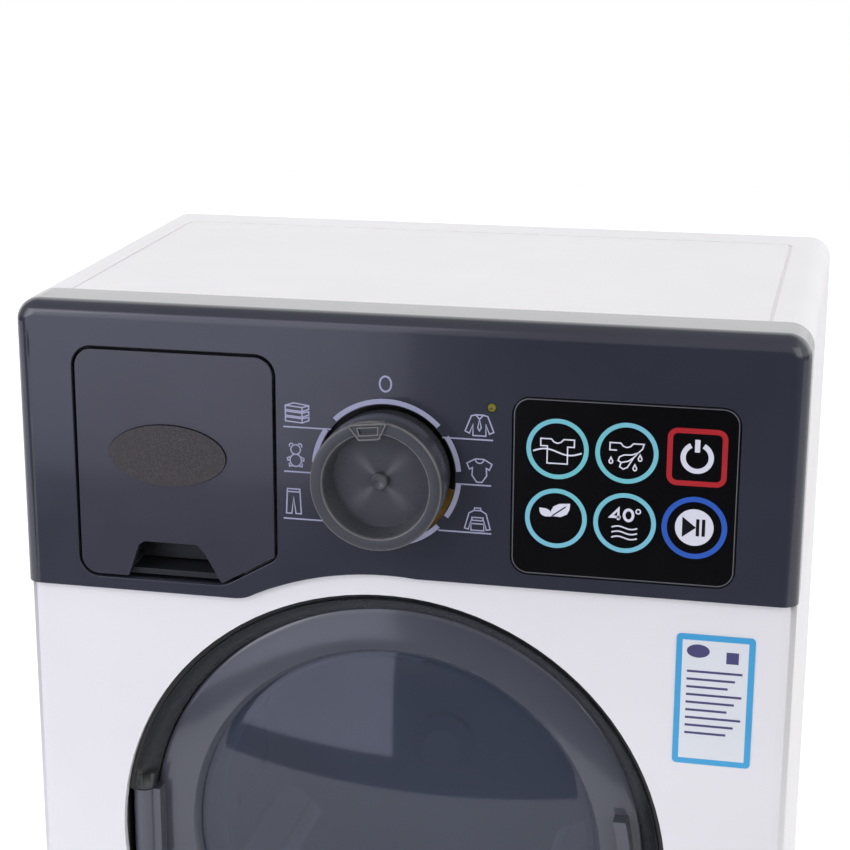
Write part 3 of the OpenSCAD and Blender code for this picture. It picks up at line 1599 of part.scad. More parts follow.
module battery_cover() color("whitesmoke") {
    play = 0.2;
    w = bay_w + 2 * (bay_ledge - play);
    h = bay_h + 2 * (bay_ledge - play);
    tab = [latch_w - 2 * latch_gap, latch_t - latch_gap + bay_cover_t / 2, bay_ledge - 2 - 2 * latch_gap];
    groove = [24, 0.6 + over, 1];
    difference() {
        union() {
            plate(back_y - bay_cover_t, bay_cover_t)
                translate([0, bay_z]) rounded_rect([w, h], bay_r - play);
            for (sx = [-1, 1])
                translate([sx * bay_w / 4 - tab.x / 2, back_y - bay_cover_t - latch_t + latch_gap,
                    bay_z - bay_h / 2 - bay_ledge + 1 + latch_gap])
                    cube(tab);
        }
        bar(0, back_y - bay_cover_t - over, bay_screw_z, bay_cover_t + 2 * over, screw_hole_r);
        bar(0, back_y - 1, bay_screw_z, 1 + over, screw_head_r + 0.1);
        for (k = [-2:2])
            translate([-groove.x / 2, back_y - groove.y + over, bay_z - bay_h / 4 + 2.4 * k - groove.z / 2])
                cube(groove);
    }
}

module battery_screw() color("silver") {
    bar(0, back_y - bay_cover_t - thread_len + 1, bay_screw_z, thread_len, screw_r);
    bar(0, back_y - 1, bay_screw_z, 0.9, screw_head_r);
}

rear_shell();
front_cover();
control_panel();
sticker();
drawer_front();
drawer_tray();
drawer_badge();
drawer_housing();
dial_knob();
dial_wiper();
dial_spindle();
dial_clip();
dial_bush();
dial_board();
dial_contacts();
touch_plate();
touch_board();
status_led();
door_bezel();
door_ring();
door_window();
door_inner_ring();
door_screws();
door_hinge_pin();
door_catch();
drum();
lifter(1);  // lifter_1
lifter(2);  // lifter_2
lifter(3);  // lifter_3
drum_shaft();
drum_bearing();
drum_support();
drum_gear();
motor_pinion();
motor_shaft();
drum_motor();
motor_mount();
main_board();
board_parts();
speaker();
battery(1);  // battery_1
battery(2);  // battery_2
battery(3);  // battery_3
battery_contacts();
battery_cover();
foot(0);  // foot_1
foot(1);  // foot_2
foot(2);  // foot_3
foot(3);  // foot_4
case_screws();
panel_screws();
housing_screws();
bezel_screws();
support_screws();
mount_screws();
board_screws();
speaker_screws();
battery_screw();
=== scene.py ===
import math

import bmesh
import bpy
from mathutils import Matrix, Vector


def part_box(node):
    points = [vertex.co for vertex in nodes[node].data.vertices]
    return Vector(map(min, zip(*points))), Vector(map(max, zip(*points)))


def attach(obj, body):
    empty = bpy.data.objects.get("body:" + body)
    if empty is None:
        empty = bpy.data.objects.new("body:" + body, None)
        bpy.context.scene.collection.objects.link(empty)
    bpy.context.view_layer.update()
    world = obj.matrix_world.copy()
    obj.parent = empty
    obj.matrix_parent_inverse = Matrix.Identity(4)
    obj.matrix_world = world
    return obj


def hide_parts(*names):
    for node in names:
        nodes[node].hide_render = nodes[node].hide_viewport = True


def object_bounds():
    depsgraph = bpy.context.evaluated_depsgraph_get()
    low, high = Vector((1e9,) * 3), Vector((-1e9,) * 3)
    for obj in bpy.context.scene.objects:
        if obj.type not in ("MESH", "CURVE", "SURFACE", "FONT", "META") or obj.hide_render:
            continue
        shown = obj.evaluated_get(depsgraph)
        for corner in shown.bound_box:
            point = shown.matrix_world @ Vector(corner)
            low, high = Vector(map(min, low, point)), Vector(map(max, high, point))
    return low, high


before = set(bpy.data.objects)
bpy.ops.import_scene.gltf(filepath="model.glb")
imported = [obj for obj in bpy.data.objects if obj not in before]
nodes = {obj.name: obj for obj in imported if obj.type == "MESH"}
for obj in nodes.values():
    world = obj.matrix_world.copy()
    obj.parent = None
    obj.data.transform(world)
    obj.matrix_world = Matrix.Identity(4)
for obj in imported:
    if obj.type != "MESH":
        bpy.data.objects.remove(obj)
cad_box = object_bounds()


# Camera
# It stands a little to the right of the machine and above it, as the photograph's did.
# The lens shift puts the machine where the photograph's crop has it.
camera_at = Vector((0.1047, -0.52195, 0.3469))
camera_yaw, camera_dip, camera_roll = (math.radians(a) for a in (-14.17, 16.65, -0.37))
ahead = Vector((
    math.sin(camera_yaw) * math.cos(camera_dip),
    math.cos(camera_yaw) * math.cos(camera_dip),
    -math.sin(camera_dip),
))
level_right = ahead.cross(Vector((0, 0, 1))).normalized()
level_up = level_right.cross(ahead)
right = level_right * math.cos(camera_roll) + level_up * math.sin(camera_roll)
up = level_up * math.cos(camera_roll) - level_right * math.sin(camera_roll)
lens = bpy.data.cameras.new("camera")
lens.lens = 91.66
lens.sensor_width = 36
lens.shift_x, lens.shift_y = 0.1, 0.053
lens.clip_start, lens.clip_end = 0.01, 20
camera = bpy.data.objects.new("camera", lens)
camera.matrix_world = Matrix.Translation(camera_at) @ Matrix((right, up, -ahead)).transposed().to_4x4()
bpy.context.scene.collection.objects.link(camera)
bpy.context.scene.camera = camera


# Rear shell, white front and battery cover
# They are injection-moulded in one white plastic with a very fine, even skin.
# The front is a separate shallow moulding that the case screws pull against the shell.
def colour(red, green, blue):
    """A colour as seen on screen, 0 to 255, in the linear numbers that a shader takes."""
    def linear(v):
        v /= 255
        return v / 12.92 if v <= 0.04045 else ((v + 0.055) / 1.055) ** 2.4
    return (linear(red), linear(green), linear(blue), 1)


def shader_group(name, inputs, outputs):
    """An empty shader group with these named sockets, and its two end nodes."""
    group = bpy.data.node_groups.new(name, "ShaderNodeTree")
    for side, sockets in (("INPUT", inputs), ("OUTPUT", outputs)):
        for socket, kind in sockets.items():
            group.interface.new_socket(socket, in_out=side, socket_type="NodeSocket" + kind)
    return group, group.nodes.new("NodeGroupInput"), group.nodes.new("NodeGroupOutput")


def own_place(tree):
    """Where a point lies in its piece."""
    return tree.nodes.new("ShaderNodeTexCoord").outputs["Object"]


def noise(tree, place, scale, detail):
    """A soft cloud of values over the piece, finer with a higher scale."""
    cloud = tree.nodes.new("ShaderNodeTexNoise")
    cloud.inputs["Scale"].default_value = scale
    cloud.inputs["Detail"].default_value = detail
    tree.links.new(place, cloud.inputs["Vector"])
    return cloud.outputs["Fac"]


def mixed(tree, factor, first, second):
    """A colour between two, each a socket or four numbers."""
    mix = tree.nodes.new("ShaderNodeMix")
    mix.data_type = "RGBA"
    for value, socket in ((factor, mix.inputs[0]), (first, mix.inputs[6]), (second, mix.inputs[7])):
        if isinstance(value, bpy.types.NodeSocket):
            tree.links.new(value, socket)
        else:
            socket.default_value = value
    return mix.outputs[2]


def reckon(tree, kind, *values, clamp=False):
    """A sum of numbers and sockets, such as ADD or MULTIPLY."""
    node = tree.nodes.new("ShaderNodeMath")
    node.operation = kind
    node.use_clamp = clamp
    for value, socket in zip(values, node.inputs):
        if isinstance(value, bpy.types.NodeSocket):
            tree.links.new(value, socket)
        else:
            socket.default_value = value
    return node.outputs[0]


shade_patches, gloss_patches, slow_waves = 28, 140, 24
shade_contrast = 2.4


def moulded_skin_group():
    """Skin of a moulded plastic: slow changes of shade, fine grain on slow waves, uneven gloss."""
    group, given, made = shader_group(
        "moulded_skin",
        {"Colour": "Color", "Shade": "Color", "Grain Scale": "Float", "Gloss": "Float",
         "Gloss Spread": "Float", "Wave": "Float"},
        {"Colour": "Color", "Roughness": "Float", "Height": "Float"},
    )
    place = own_place(group)
    slow = reckon(group, "MULTIPLY_ADD", noise(group, place, shade_patches, 3),
                  shade_contrast, 0.5 - shade_contrast / 2, clamp=True)
    tint = mixed(group, slow, given.outputs["Colour"], given.outputs["Shade"])
    group.links.new(tint, made.inputs["Colour"])
    fine = group.nodes.new("ShaderNodeTexNoise")
    fine.inputs["Detail"].default_value = 2
    group.links.new(place, fine.inputs["Vector"])
    group.links.new(given.outputs["Grain Scale"], fine.inputs["Scale"])
    patch = reckon(group, "SUBTRACT", noise(group, place, gloss_patches, 4), 0.5)
    rough = reckon(group, "MULTIPLY_ADD", patch, given.outputs["Gloss Spread"], given.outputs["Gloss"])
    group.links.new(rough, made.inputs["Roughness"])
    swell = reckon(group, "MULTIPLY", noise(group, place, slow_waves, 1), given.outputs["Wave"])
    group.links.new(reckon(group, "ADD", fine.outputs["Fac"], swell), made.inputs["Height"])
    return group


moulded_skin = moulded_skin_group()


def shaded_material(name):
    """A new material with its tree and its Principled shader."""
    material = bpy.data.materials.new(name)
    material.use_nodes = True
    return material, material.node_tree, material.node_tree.nodes["Principled BSDF"]


def roughen(tree, shader, height, depth):
    """Bump of a depth in metres on the shader."""
    bump = tree.nodes.new("ShaderNodeBump")
    bump.inputs["Distance"].default_value = depth
    tree.links.new(height, bump.inputs["Height"])
    tree.links.new(bump.outputs["Normal"], shader.inputs["Normal"])


def skinned(name, group, depth, values):
    """A material whose colour, roughness and bump of this depth come from a group with these values."""
    material, tree, shader = shaded_material(name)
    skin = tree.nodes.new("ShaderNodeGroup")
    skin.node_tree = group
    for socket, value in values.items():
        skin.inputs[socket].default_value = value
    tree.links.new(skin.outputs["Colour"], shader.inputs["Base Color"])
    tree.links.new(skin.outputs["Roughness"], shader.inputs["Roughness"])
    roughen(tree, shader, skin.outputs["Height"], depth)
    return material, shader


coat_gloss = 0.06


def moulded_plastic(name, tint, shade, gloss, spread=0.1, grain=2600, depth=0.000006, coat=0.0, wave=0.0):
    """A moulded plastic: two near shades, its roughness, the scale and depth of its skin, its waves."""
    material, shader = skinned(name, moulded_skin, depth, {
        "Colour": tint, "Shade": shade, "Grain Scale": grain, "Gloss": gloss, "Gloss Spread": spread,
        "Wave": wave / depth})
    shader.inputs["Coat Weight"].default_value = coat
    shader.inputs["Coat Roughness"].default_value = coat_gloss
    return material


def finish_with(material, *names):
    """Gives CAD nodes their material."""
    for name in names:
        slots = nodes[name].data.materials
        if len(slots) == 0:
            slots.append(material)
        for i in range(len(slots)):
            slots[i] = material


level_play, weld_gap = 0.00004, 0.000002
flat_turn, least_turn, crisp_turn, crease_turn = (math.radians(turn) for turn in (0.4, 20, 38, 32))
rounding_steps = 3


def in_plane(edge, axis, level):
    """Whether both ends of an edge lie in this plane."""
    return all(abs(v.co[axis] - level) < level_play for v in edge.verts)


def runs_back(edge, low, high):
    """Whether an edge is a corner that runs from front to back, between these two points."""
    a, b = (v.co for v in edge.verts)
    inside = all(low[k] < a[k] < high[k] for k in (0, 2))
    return inside and abs(a.x - b.x) + abs(a.z - b.z) < level_play / 2 < abs(a.y - b.y)


def shade_flat_faces(data):
    """Gives the wide faces that lie square to an axis their own direction at all their corners."""
    wide, square = 0.00001, 0.99999
    shading = [corner.vector.copy() for corner in data.corner_normals]
    for face in data.polygons:
        if face.area > wide and max(abs(part) for part in face.normal) > square:
            for corner in face.loop_indices:
                shading[corner] = face.normal
    data.normals_split_custom_set(shading)


def piece_of(name, mesh, material):
    """The piece of a finished mesh, in one material."""
    data = bpy.data.meshes.new(name)
    mesh.to_mesh(data)
    mesh.free()
    data.materials.append(material)
    piece = bpy.data.objects.new(name, data)
    bpy.context.scene.collection.objects.link(piece)
    return piece


def eased_copy(name, body, material, width, front=None, first=()):
    """A copy of a CAD piece with its sharp edges rounded, all of them or those in its front plane.

    Edges that pass a test in first are rounded before, each kind by its own width.
    Its flat faces stay evenly shaded, as each corner's shading follows the largest face at it.
    """
    mesh = bmesh.new()
    mesh.from_mesh(nodes[name].data)
    bmesh.ops.remove_doubles(mesh, verts=mesh.verts, dist=weld_gap)
    bmesh.ops.dissolve_limit(mesh, angle_limit=flat_turn, verts=mesh.verts, edges=mesh.edges)
    kinds = [(test, size, least_turn) for test, size in first]
    kinds.append((lambda edge: front is None or in_plane(edge, 1, front), width, crisp_turn))
    for test, size, least in kinds:
        sharp = [edge for edge in mesh.edges
                 if len(edge.link_faces) == 2 and edge.calc_face_angle(0) > least and test(edge)]
        bmesh.ops.bevel(mesh, geom=sharp, offset=size, offset_type="OFFSET", segments=rounding_steps,
                        profile=0.5, affect="EDGES", clamp_overlap=True, loop_slide=True)
    piece = piece_of(name + "_eased", mesh, material)
    piece.data.shade_smooth()
    piece.data.set_sharp_from_angle(angle=crease_turn)
    piece.modifiers.new("even_shading", "WEIGHTED_NORMAL").keep_sharp = True
    settled = piece.evaluated_get(bpy.context.evaluated_depsgraph_get())
    piece.data = bpy.data.meshes.new_from_object(settled)
    piece.modifiers.clear()
    shade_flat_faces(piece.data)
    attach(piece, body)
    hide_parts(name)


white_plastic = moulded_plastic(
    "white_plastic", colour(231, 229, 232), colour(227, 225, 228), gloss=0.52, depth=0.000004)
finish_with(white_plastic, "battery_cover")
shell_edge, groove_edge, cover_edge = 0.0002, 0.00026, 0.0004
eased_copy("rear_shell", "case", white_plastic, shell_edge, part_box("rear_shell")[0].y,
           first=[(lambda edge: in_plane(edge, 2, cad_box[1].z), groove_edge)])
eased_copy("front_cover", "case", white_plastic, cover_edge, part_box("front_cover")[0].y)


# Control panel
# A dark blue-grey cap, glossy and slightly wavy as thin mouldings are, over the top of the front.
# Its posts are screwed to the carrier, and its arch leaves room for the white rim of the door.
panel_plastic = moulded_plastic(
    "panel_plastic", colour(52, 54, 66), colour(47, 49, 60), gloss=0.17, spread=0.08,
    grain=900, depth=0.000003, coat=0.3, wave=0.00016)
panel_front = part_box("control_panel")[0].y
panel_rim, opening_corner, opening_lip = 0.0004, 0.0016, 0.00075
drawer_low, drawer_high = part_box("drawer_front")
drawer_room, notch_room = 0.002, 0.004
about_drawer = (drawer_low - Vector((drawer_room, 0, notch_room)),
                drawer_high + Vector((drawer_room, 0, drawer_room)))


def at_drawer(edge):
    """Whether an edge is on the lip of the panel's opening for the drawer."""
    inside = all(about_drawer[0][k] < v.co[k] < about_drawer[1][k] for v in edge.verts for k in (0, 2))
    return inside and in_plane(edge, 1, panel_front)


eased_copy("control_panel", "case", panel_plastic, panel_rim, panel_front,
           first=[(lambda edge: runs_back(edge, *about_drawer), opening_corner), (at_drawer, opening_lip)])


# Detergent drawer
# The front is the panel's plastic with crisp edges; the tray and its sleeve are darker and duller.
# The tray slides in a sleeve that two screws hold to the carrier.
drawer_plastic = moulded_plastic(
    "drawer_plastic", colour(54, 55, 66), colour(48, 49, 60), gloss=0.2, spread=0.08,
    grain=1100, depth=0.000003, coat=0.25, wave=0.00012)
tray_plastic = moulded_plastic("tray_plastic", colour(34, 35, 42), colour(29, 30, 36), gloss=0.45)
drawer_rim, drawer_corner = 0.0006, 0.0009
eased_copy("drawer_front", "drawer", drawer_plastic, drawer_rim, drawer_low.y,
           first=[(lambda edge: runs_back(edge, *about_drawer), drawer_corner)])
finish_with(tray_plastic, "drawer_tray", "drawer_housing")


# Badge
# A bare oval of dark printed metal foil, glued in a shallow recess of the drawer's front.
# Its fine flakes catch the light unevenly.
flake_scale, flake_depth, flake_share = 6500, 0.000008, 3


def flaked_metal(name, tint, flake, gloss):
    """Dark metal with fine flakes, each with its own shade."""
    material, tree, shader = shaded_material(name)
    cells = tree.nodes.new("ShaderNodeTexVoronoi")
    cells.inputs["Scale"].default_value = flake_scale
    tree.links.new(own_place(tree), cells.inputs["Vector"])
    value = tree.nodes.new("ShaderNodeSeparateColor")
    tree.links.new(cells.outputs["Color"], value.inputs["Color"])
    bright = reckon(tree, "POWER", value.outputs[0], flake_share)
    tree.links.new(mixed(tree, bright, tint, flake), shader.inputs["Base Color"])
    tree.links.new(reckon(tree, "MULTIPLY_ADD", value.outputs[1], 0.16, gloss), shader.inputs["Roughness"])
    shader.inputs["Metallic"].default_value = 0.85
    roughen(tree, shader, value.outputs[2], flake_depth)
    return material


badge_metal = flaked_metal("badge_metal", colour(72, 68, 69), colour(96, 92, 93), 0.34)
finish_with(badge_metal, "drawer_badge")


# Programme dial
# A smoke-grey knob of slightly cloudy plastic, pressed on a white spindle that a clip holds.
# Under it a brass leaf runs over the tracks of a round board.
knob_low, knob_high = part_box("dial_knob")
knob_centre = ((knob_low.x + knob_high.x) / 2, knob_low.y, (knob_low.z + knob_high.z) / 2)
knob_r = (knob_high.x - knob_low.x) / 2
rim_face, dish_r, dish_floor = 0.0007, 0.01245, 0.0063
socket_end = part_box("dial_spindle")[0].y - knob_low.y - 0.0001
# Reach, sharpness and depth of the painted reflection arms in the knob's dish.
arm_reach, arm_edge, arm_depth = 0.0108, 12, 0.0012
# Width of the painted highlight lines on the knob's edges, and how deep behind its front they reach.
edge_highlight_width, mark_highlight_depth, rim_deep = 0.0003, 0.00012, 0.0009


def about_centre_group():
    """Where a point lies from a centre, and how far it is from the front-to-back line through it."""
    group, given, made = shader_group(
        "about_centre", {"Centre": "Vector"}, {"Reach": "Float", "X": "Float", "Y": "Float", "Z": "Float"})
    away = group.nodes.new("ShaderNodeVectorMath")
    away.operation = "SUBTRACT"
    group.links.new(own_place(group), away.inputs[0])
    group.links.new(given.outputs["Centre"], away.inputs[1])
    parts = group.nodes.new("ShaderNodeSeparateXYZ")
    group.links.new(away.outputs[0], parts.inputs[0])
    x, _, z = parts.outputs
    squares = reckon(group, "ADD", reckon(group, "MULTIPLY", x, x), reckon(group, "MULTIPLY", z, z))
    group.links.new(reckon(group, "SQRT", squares), made.inputs["Reach"])
    for socket in parts.outputs:
        group.links.new(socket, made.inputs[socket.name])
    return group


about_centre = about_centre_group()


def from_centre(tree, centre):
    """Reach, x, y and z of the points of a piece from this centre."""
    found = tree.nodes.new("ShaderNodeGroup")
    found.node_tree = about_centre
    found.inputs["Centre"].default_value = centre
    return [found.outputs[name] for name in ("Reach", "X", "Y", "Z")]


def smoky_plastic(name, tint, shade, arm_reflection_tint, edge_highlight_tint):
    """Cloudy plastic with painted light: paler arms of painted reflection in its dish, and painted highlight
    lines on its thin edges.
    """
    material = moulded_plastic(name, tint, shade, gloss=0.28, spread=0.12, grain=1500, depth=0.000004)
    tree, shader = material.node_tree, material.node_tree.nodes["Principled BSDF"]
    reach, x, y, z = from_centre(tree, knob_centre)
    # Painted reflection: four paler arms in the dish, fading towards its rim.
    turn = reckon(tree, "MULTIPLY", reckon(tree, "ARCTAN2", z, x), 2)
    reflection_arms = reckon(tree, "POWER", reckon(tree, "ABSOLUTE", reckon(tree, "SINE", turn)), arm_edge)
    fade = reckon(tree, "SUBTRACT", 1, reckon(tree, "DIVIDE", reach, arm_reach), clamp=True)
    in_dish = reckon(tree, "GREATER_THAN", y, dish_floor - arm_depth)
    share = reckon(tree, "MULTIPLY", reckon(tree, "MULTIPLY", reflection_arms, fade), in_dish)
    with_arm_reflection = mixed(tree, share, shader.inputs["Base Color"].links[0].from_socket, arm_reflection_tint)
    # Painted highlight lines on the mark's top and at the dish's lip and the rim's edge.
    near_face = reckon(tree, "LESS_THAN", y, rim_face + rim_deep)
    lit = reckon(tree, "LESS_THAN", y, mark_highlight_depth)
    for radius in (dish_r + 0.00005, knob_r - 0.0001):
        off = reckon(tree, "ABSOLUTE", reckon(tree, "SUBTRACT", reach, radius))
        line = reckon(tree, "SUBTRACT", 1, reckon(tree, "DIVIDE", off, edge_highlight_width), clamp=True)
        lit = reckon(tree, "MAXIMUM", lit, reckon(tree, "MULTIPLY", line, near_face))
    tree.links.new(mixed(tree, lit, with_arm_reflection, edge_highlight_tint), shader.inputs["Base Color"])
    return material


# The third colour is the painted reflection in the dish, the fourth the painted highlight on the edges.
knob_plastic = smoky_plastic("knob_plastic", colour(70, 71, 76), colour(61, 63, 69),
                             colour(104, 102, 108), colour(112, 110, 110))


def lathed(mesh, profile, centre, steps=120):
    """Adds a solid turned about the y direction: its profile is (radius, place along y) pairs."""
    rings = []
    for radius, y in profile:
        if radius == 0:
            rings.append([mesh.verts.new((centre[0], y, centre[2]))] * steps)
        else:
            rings.append([mesh.verts.new((centre[0] + radius * math.cos(2 * math.pi * i / steps), y,
                                          centre[2] + radius * math.sin(2 * math.pi * i / steps)))
                          for i in range(steps)])
    for first, second in zip(rings, rings[1:] + rings[:1]):
        for i in range(steps):
            j = (i + 1) % steps
            corners = list(dict.fromkeys((first[i], first[j], second[j], second[i])))
            if len(corners) > 2:
                mesh.faces.new(corners)


def rounding(radius, y, size, start, end, steps=5):
    """Points of a rounded edge of a profile about its middle, start and end in degrees."""
    turns = [math.radians(start + (end - start) * i / steps) for i in range(steps + 1)]
    return [(radius + size * math.cos(turn), y + size * math.sin(turn)) for turn in turns]


def wedge(wide, narrow, low, high, radius, inset, steps=4):
    """Points round a mark on the knob that is wider outwards, with its corners rounded."""
    points = []
    for k, (side, z, half) in enumerate(((1, high - radius, wide / 2), (1, low + radius, narrow / 2),
                                         (-1, low + radius, narrow / 2), (-1, high - radius, wide / 2))):
        small = max(radius - inset, 0.00008)
        for i in range(steps + 1):
            turn = math.radians(90 * k + 90 * i / steps)
            points.append((side * (half - radius) + small * math.sin(turn), z + small * math.cos(turn)))
    return points


def knob_mark(mesh, levels, turn):
    """Adds the raised mark: loops of equal count, each (outline, place along y), from behind to its pit."""
    loops = []
    for outline, y in levels:
        loops.append([mesh.verts.new((knob_centre[0] + x * math.cos(turn) - z * math.sin(turn), y,
                                      knob_centre[2] + x * math.sin(turn) + z * math.cos(turn)))
                      for x, z in outline])
    for first, second in zip(loops, loops[1:]):
        for i in range(len(first)):
            j = (i + 1) % len(first)
            mesh.faces.new((first[i], first[j], second[j], second[i]))
    mesh.faces.new(loops[0])
    mesh.faces.new(loops[-1])


def smooth_piece(name, mesh, material, body, slot, *replaced):
    """Makes the piece of a mesh, smooth where it bends softly, in place of CAD nodes."""
    bmesh.ops.recalc_face_normals(mesh, faces=mesh.faces)
    piece = piece_of(name, mesh, material)
    piece.data.shade_smooth()
    piece.data.set_sharp_from_angle(angle=math.radians(30))
    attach(piece, body)
    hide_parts(*replaced)
    return piece


knob_mesh = bmesh.new()
face_y, floor_y, back_y = knob_low.y + rim_face, knob_low.y + dish_floor, knob_high.y
step_y, web_y, hub_end = knob_low.y + 0.0091, knob_low.y + 0.0082, back_y - 0.0005
socket_y = knob_low.y + socket_end
stud_r, stud_high, stud_edge = 0.0017, 0.0013, 0.0003
lip_edge, rim_edge, step_in = 0.00035, 0.0006, 0.0004
wall_r, hub_r, socket_r = knob_r - 0.0016, 0.0055, 0.0032
knob_profile = [(0, floor_y - 0.00085), (0.0009, floor_y - 0.0014)]
knob_profile += rounding(stud_r, floor_y - stud_high, stud_edge, -90, -10)
knob_profile += [(0.0021, floor_y), (0.0045, floor_y), (0.008, floor_y), (0.0112, floor_y)]
knob_profile += rounding(dish_r + 0.0003, face_y + lip_edge, lip_edge, 190, 270)
knob_profile += rounding(knob_r - rim_edge, face_y + rim_edge, rim_edge, -90, 0)
knob_profile += [
    (knob_r, step_y - 0.0008), (knob_r - 0.00005, step_y - 0.0003), (knob_r - 0.0003, step_y),
    (knob_r - step_in, step_y + 0.0004), (knob_r - step_in, back_y), (wall_r, back_y), (wall_r, web_y),
    (hub_r, web_y), (hub_r, hub_end), (socket_r, hub_end), (socket_r, socket_y), (0, socket_y)]
lathed(knob_mesh, knob_profile, knob_centre)
mark = (0.0089, 0.0056, 0.0110, 0.0150, 0.0007)
pit = (0.0052, 0.0046, 0.0121, 0.0142, 0.0004)
mark_turn, mark_top, mark_root = math.radians(6.3), knob_low.y, floor_y - 0.0036
knob_mark(knob_mesh, [
    (wedge(*mark, 0), mark_root), (wedge(*mark, 0), mark_top + 0.00018), (wedge(*mark, 0.00014), mark_top),
    (wedge(*mark, 0.0004), mark_top), (wedge(*mark, 0.00055), mark_top + 0.00025),
    (wedge(*pit, -0.0001), mark_top + 0.00025), (wedge(*pit, 0), mark_top + 0.0001),
    (wedge(*pit, 0.0003), mark_top + 0.0001), (wedge(*pit, 0.00038), mark_top + 0.0011)], mark_turn)
smooth_piece("knob", knob_mesh, knob_plastic, "dial", "knob_plastic", "dial_knob")
white_nylon = moulded_plastic("white_nylon", colour(224, 222, 212), colour(214, 212, 203), gloss=0.45)
finish_with(white_nylon, "dial_spindle", "dial_bush", "drum_gear", "motor_pinion", "door_catch")


line_scale, line_stretch, metal_depth = 90, 14, 0.000004


def drawn_lines_group():
    """The fine lines that rolling or turning leaves on bare metal."""
    group, given, made = shader_group(
        "drawn_lines", {"Colour": "Color", "Shade": "Color", "Gloss": "Float"},
        {"Colour": "Color", "Roughness": "Float", "Height": "Float"})
    drawn_out = group.nodes.new("ShaderNodeMapping")
    drawn_out.inputs["Scale"].default_value = (1, line_stretch, line_stretch)
    group.links.new(own_place(group), drawn_out.inputs["Vector"])
    lines = noise(group, drawn_out.outputs["Vector"], line_scale, 5)
    tint = mixed(group, lines, given.outputs["Colour"], given.outputs["Shade"])
    group.links.new(tint, made.inputs["Colour"])
    rough = reckon(group, "MULTIPLY_ADD", lines, 0.2, given.outputs["Gloss"])
    group.links.new(rough, made.inputs["Roughness"])
    group.links.new(lines, made.inputs["Height"])
    return group


drawn_lines = drawn_lines_group()


def bare_metal(name, tint, shade, gloss):
    """Bare metal with those lines."""
    material, shader = skinned(
        name, drawn_lines, metal_depth, {"Colour": tint, "Shade": shade, "Gloss": gloss})
    shader.inputs["Metallic"].default_value = 1
    return material


brass = bare_metal("brass", colour(214, 168, 86), colour(176, 132, 60), 0.25)
steel = bare_metal("steel", colour(196, 198, 204), colour(150, 152, 160), 0.22)
finish_with(brass, "dial_wiper", "dial_contacts", "drum_bearing")
finish_with(steel, "dial_clip")


# Circuit boards
# Solder resist over glass weave, with pale copper tracks under it: green, and black on the dial's board.
# The round one is the dial's, the long one lies under the touch plate, the large one drives all.
weave_scale, weave_depth = 320, 0.00001


def board_weave_group():
    """The faint squares of a board's glass weave, with paler tracks between, under its resist."""
    group, given, made = shader_group(
        "board_weave", {"Resist": "Color", "Second": "Color", "Track": "Color"},
        {"Colour": "Color", "Roughness": "Float", "Height": "Float"})
    place = own_place(group)
    weave = group.nodes.new("ShaderNodeTexBrick")
    weave.inputs["Scale"].default_value = weave_scale
    for socket, tint in (("Color1", "Resist"), ("Color2", "Second"), ("Mortar", "Track")):
        group.links.new(given.outputs[tint], weave.inputs[socket])
    turned = group.nodes.new("ShaderNodeMapping")
    turned.inputs["Rotation"].default_value = (math.radians(90), 0, 0)
    group.links.new(place, turned.inputs["Vector"])
    group.links.new(turned.outputs["Vector"], weave.inputs["Vector"])
    group.links.new(weave.outputs["Color"], made.inputs["Colour"])
    rough = reckon(group, "MULTIPLY_ADD", noise(group, place, 400, 2), 0.2, 0.25)
    group.links.new(rough, made.inputs["Roughness"])
    group.links.new(weave.outputs["Fac"], made.inputs["Height"])
    return group


board_weave = board_weave_group()
board_green, _ = skinned("board_green", board_weave, weave_depth, {
    "Resist": colour(26, 92, 52), "Second": colour(30, 104, 58), "Track": colour(58, 128, 76)})
board_black, _ = skinned("board_black", board_weave, weave_depth, {
    "Resist": colour(13, 13, 15), "Second": colour(17, 17, 19), "Track": colour(30, 29, 28)})
finish_with(board_green, "touch_board", "main_board")
finish_with(board_black, "dial_board")
chip_black = moulded_plastic("chip_black", colour(34, 34, 36), colour(26, 26, 28), gloss=0.38)
finish_with(chip_black, "board_parts")


# Touch plate and indicator light
# The plate is deep black and mirror-smooth; its marks are printed on it.
# The small light beside it is a cloudy olive-yellow bead.
glossy_black = moulded_plastic(
    "glossy_black", colour(9, 9, 12), colour(7, 7, 10), gloss=0.16, spread=0.05,
    grain=600, depth=0.000001, coat=0.1)
eased_copy("touch_plate", "case", glossy_black, 0.0003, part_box("touch_plate")[0].y)


def cloudy_bead(name, middle, rim, centre, radius):
    """A bead that darkens towards its middle, where the chip sits."""
    material, tree, shader = shaded_material(name)
    reach, *_ = from_centre(tree, centre)
    share = reckon(tree, "DIVIDE", reach, radius, clamp=True)
    cloud = noise(tree, own_place(tree), 1800, 2)
    uneven = reckon(tree, "MULTIPLY_ADD", cloud, 0.3, -0.15)
    tint = mixed(tree, reckon(tree, "ADD", share, uneven, clamp=True), middle, rim)
    tree.links.new(tint, shader.inputs["Base Color"])
    tree.links.new(reckon(tree, "MULTIPLY_ADD", share, -0.2, 0.4), shader.inputs["Roughness"])
    return material


led_low, led_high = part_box("status_led")
led_middle = (led_low + led_high) / 2
status_bead = cloudy_bead(
    "led_yellow", colour(58, 54, 14), colour(142, 136, 30), led_middle, (led_high.x - led_low.x) / 2)
finish_with(status_bead, "status_led")


# Bezel and door
# The bezel is a darker flared ring in the white front; the door's ring is glossy blue-grey.
# The smoked window is clamped between the door's ring and a pale inner ring.
bezel_low, bezel_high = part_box("door_bezel")
door_middle = ((bezel_low.x + bezel_high.x) / 2, 0, (bezel_low.z + bezel_high.z) / 2)


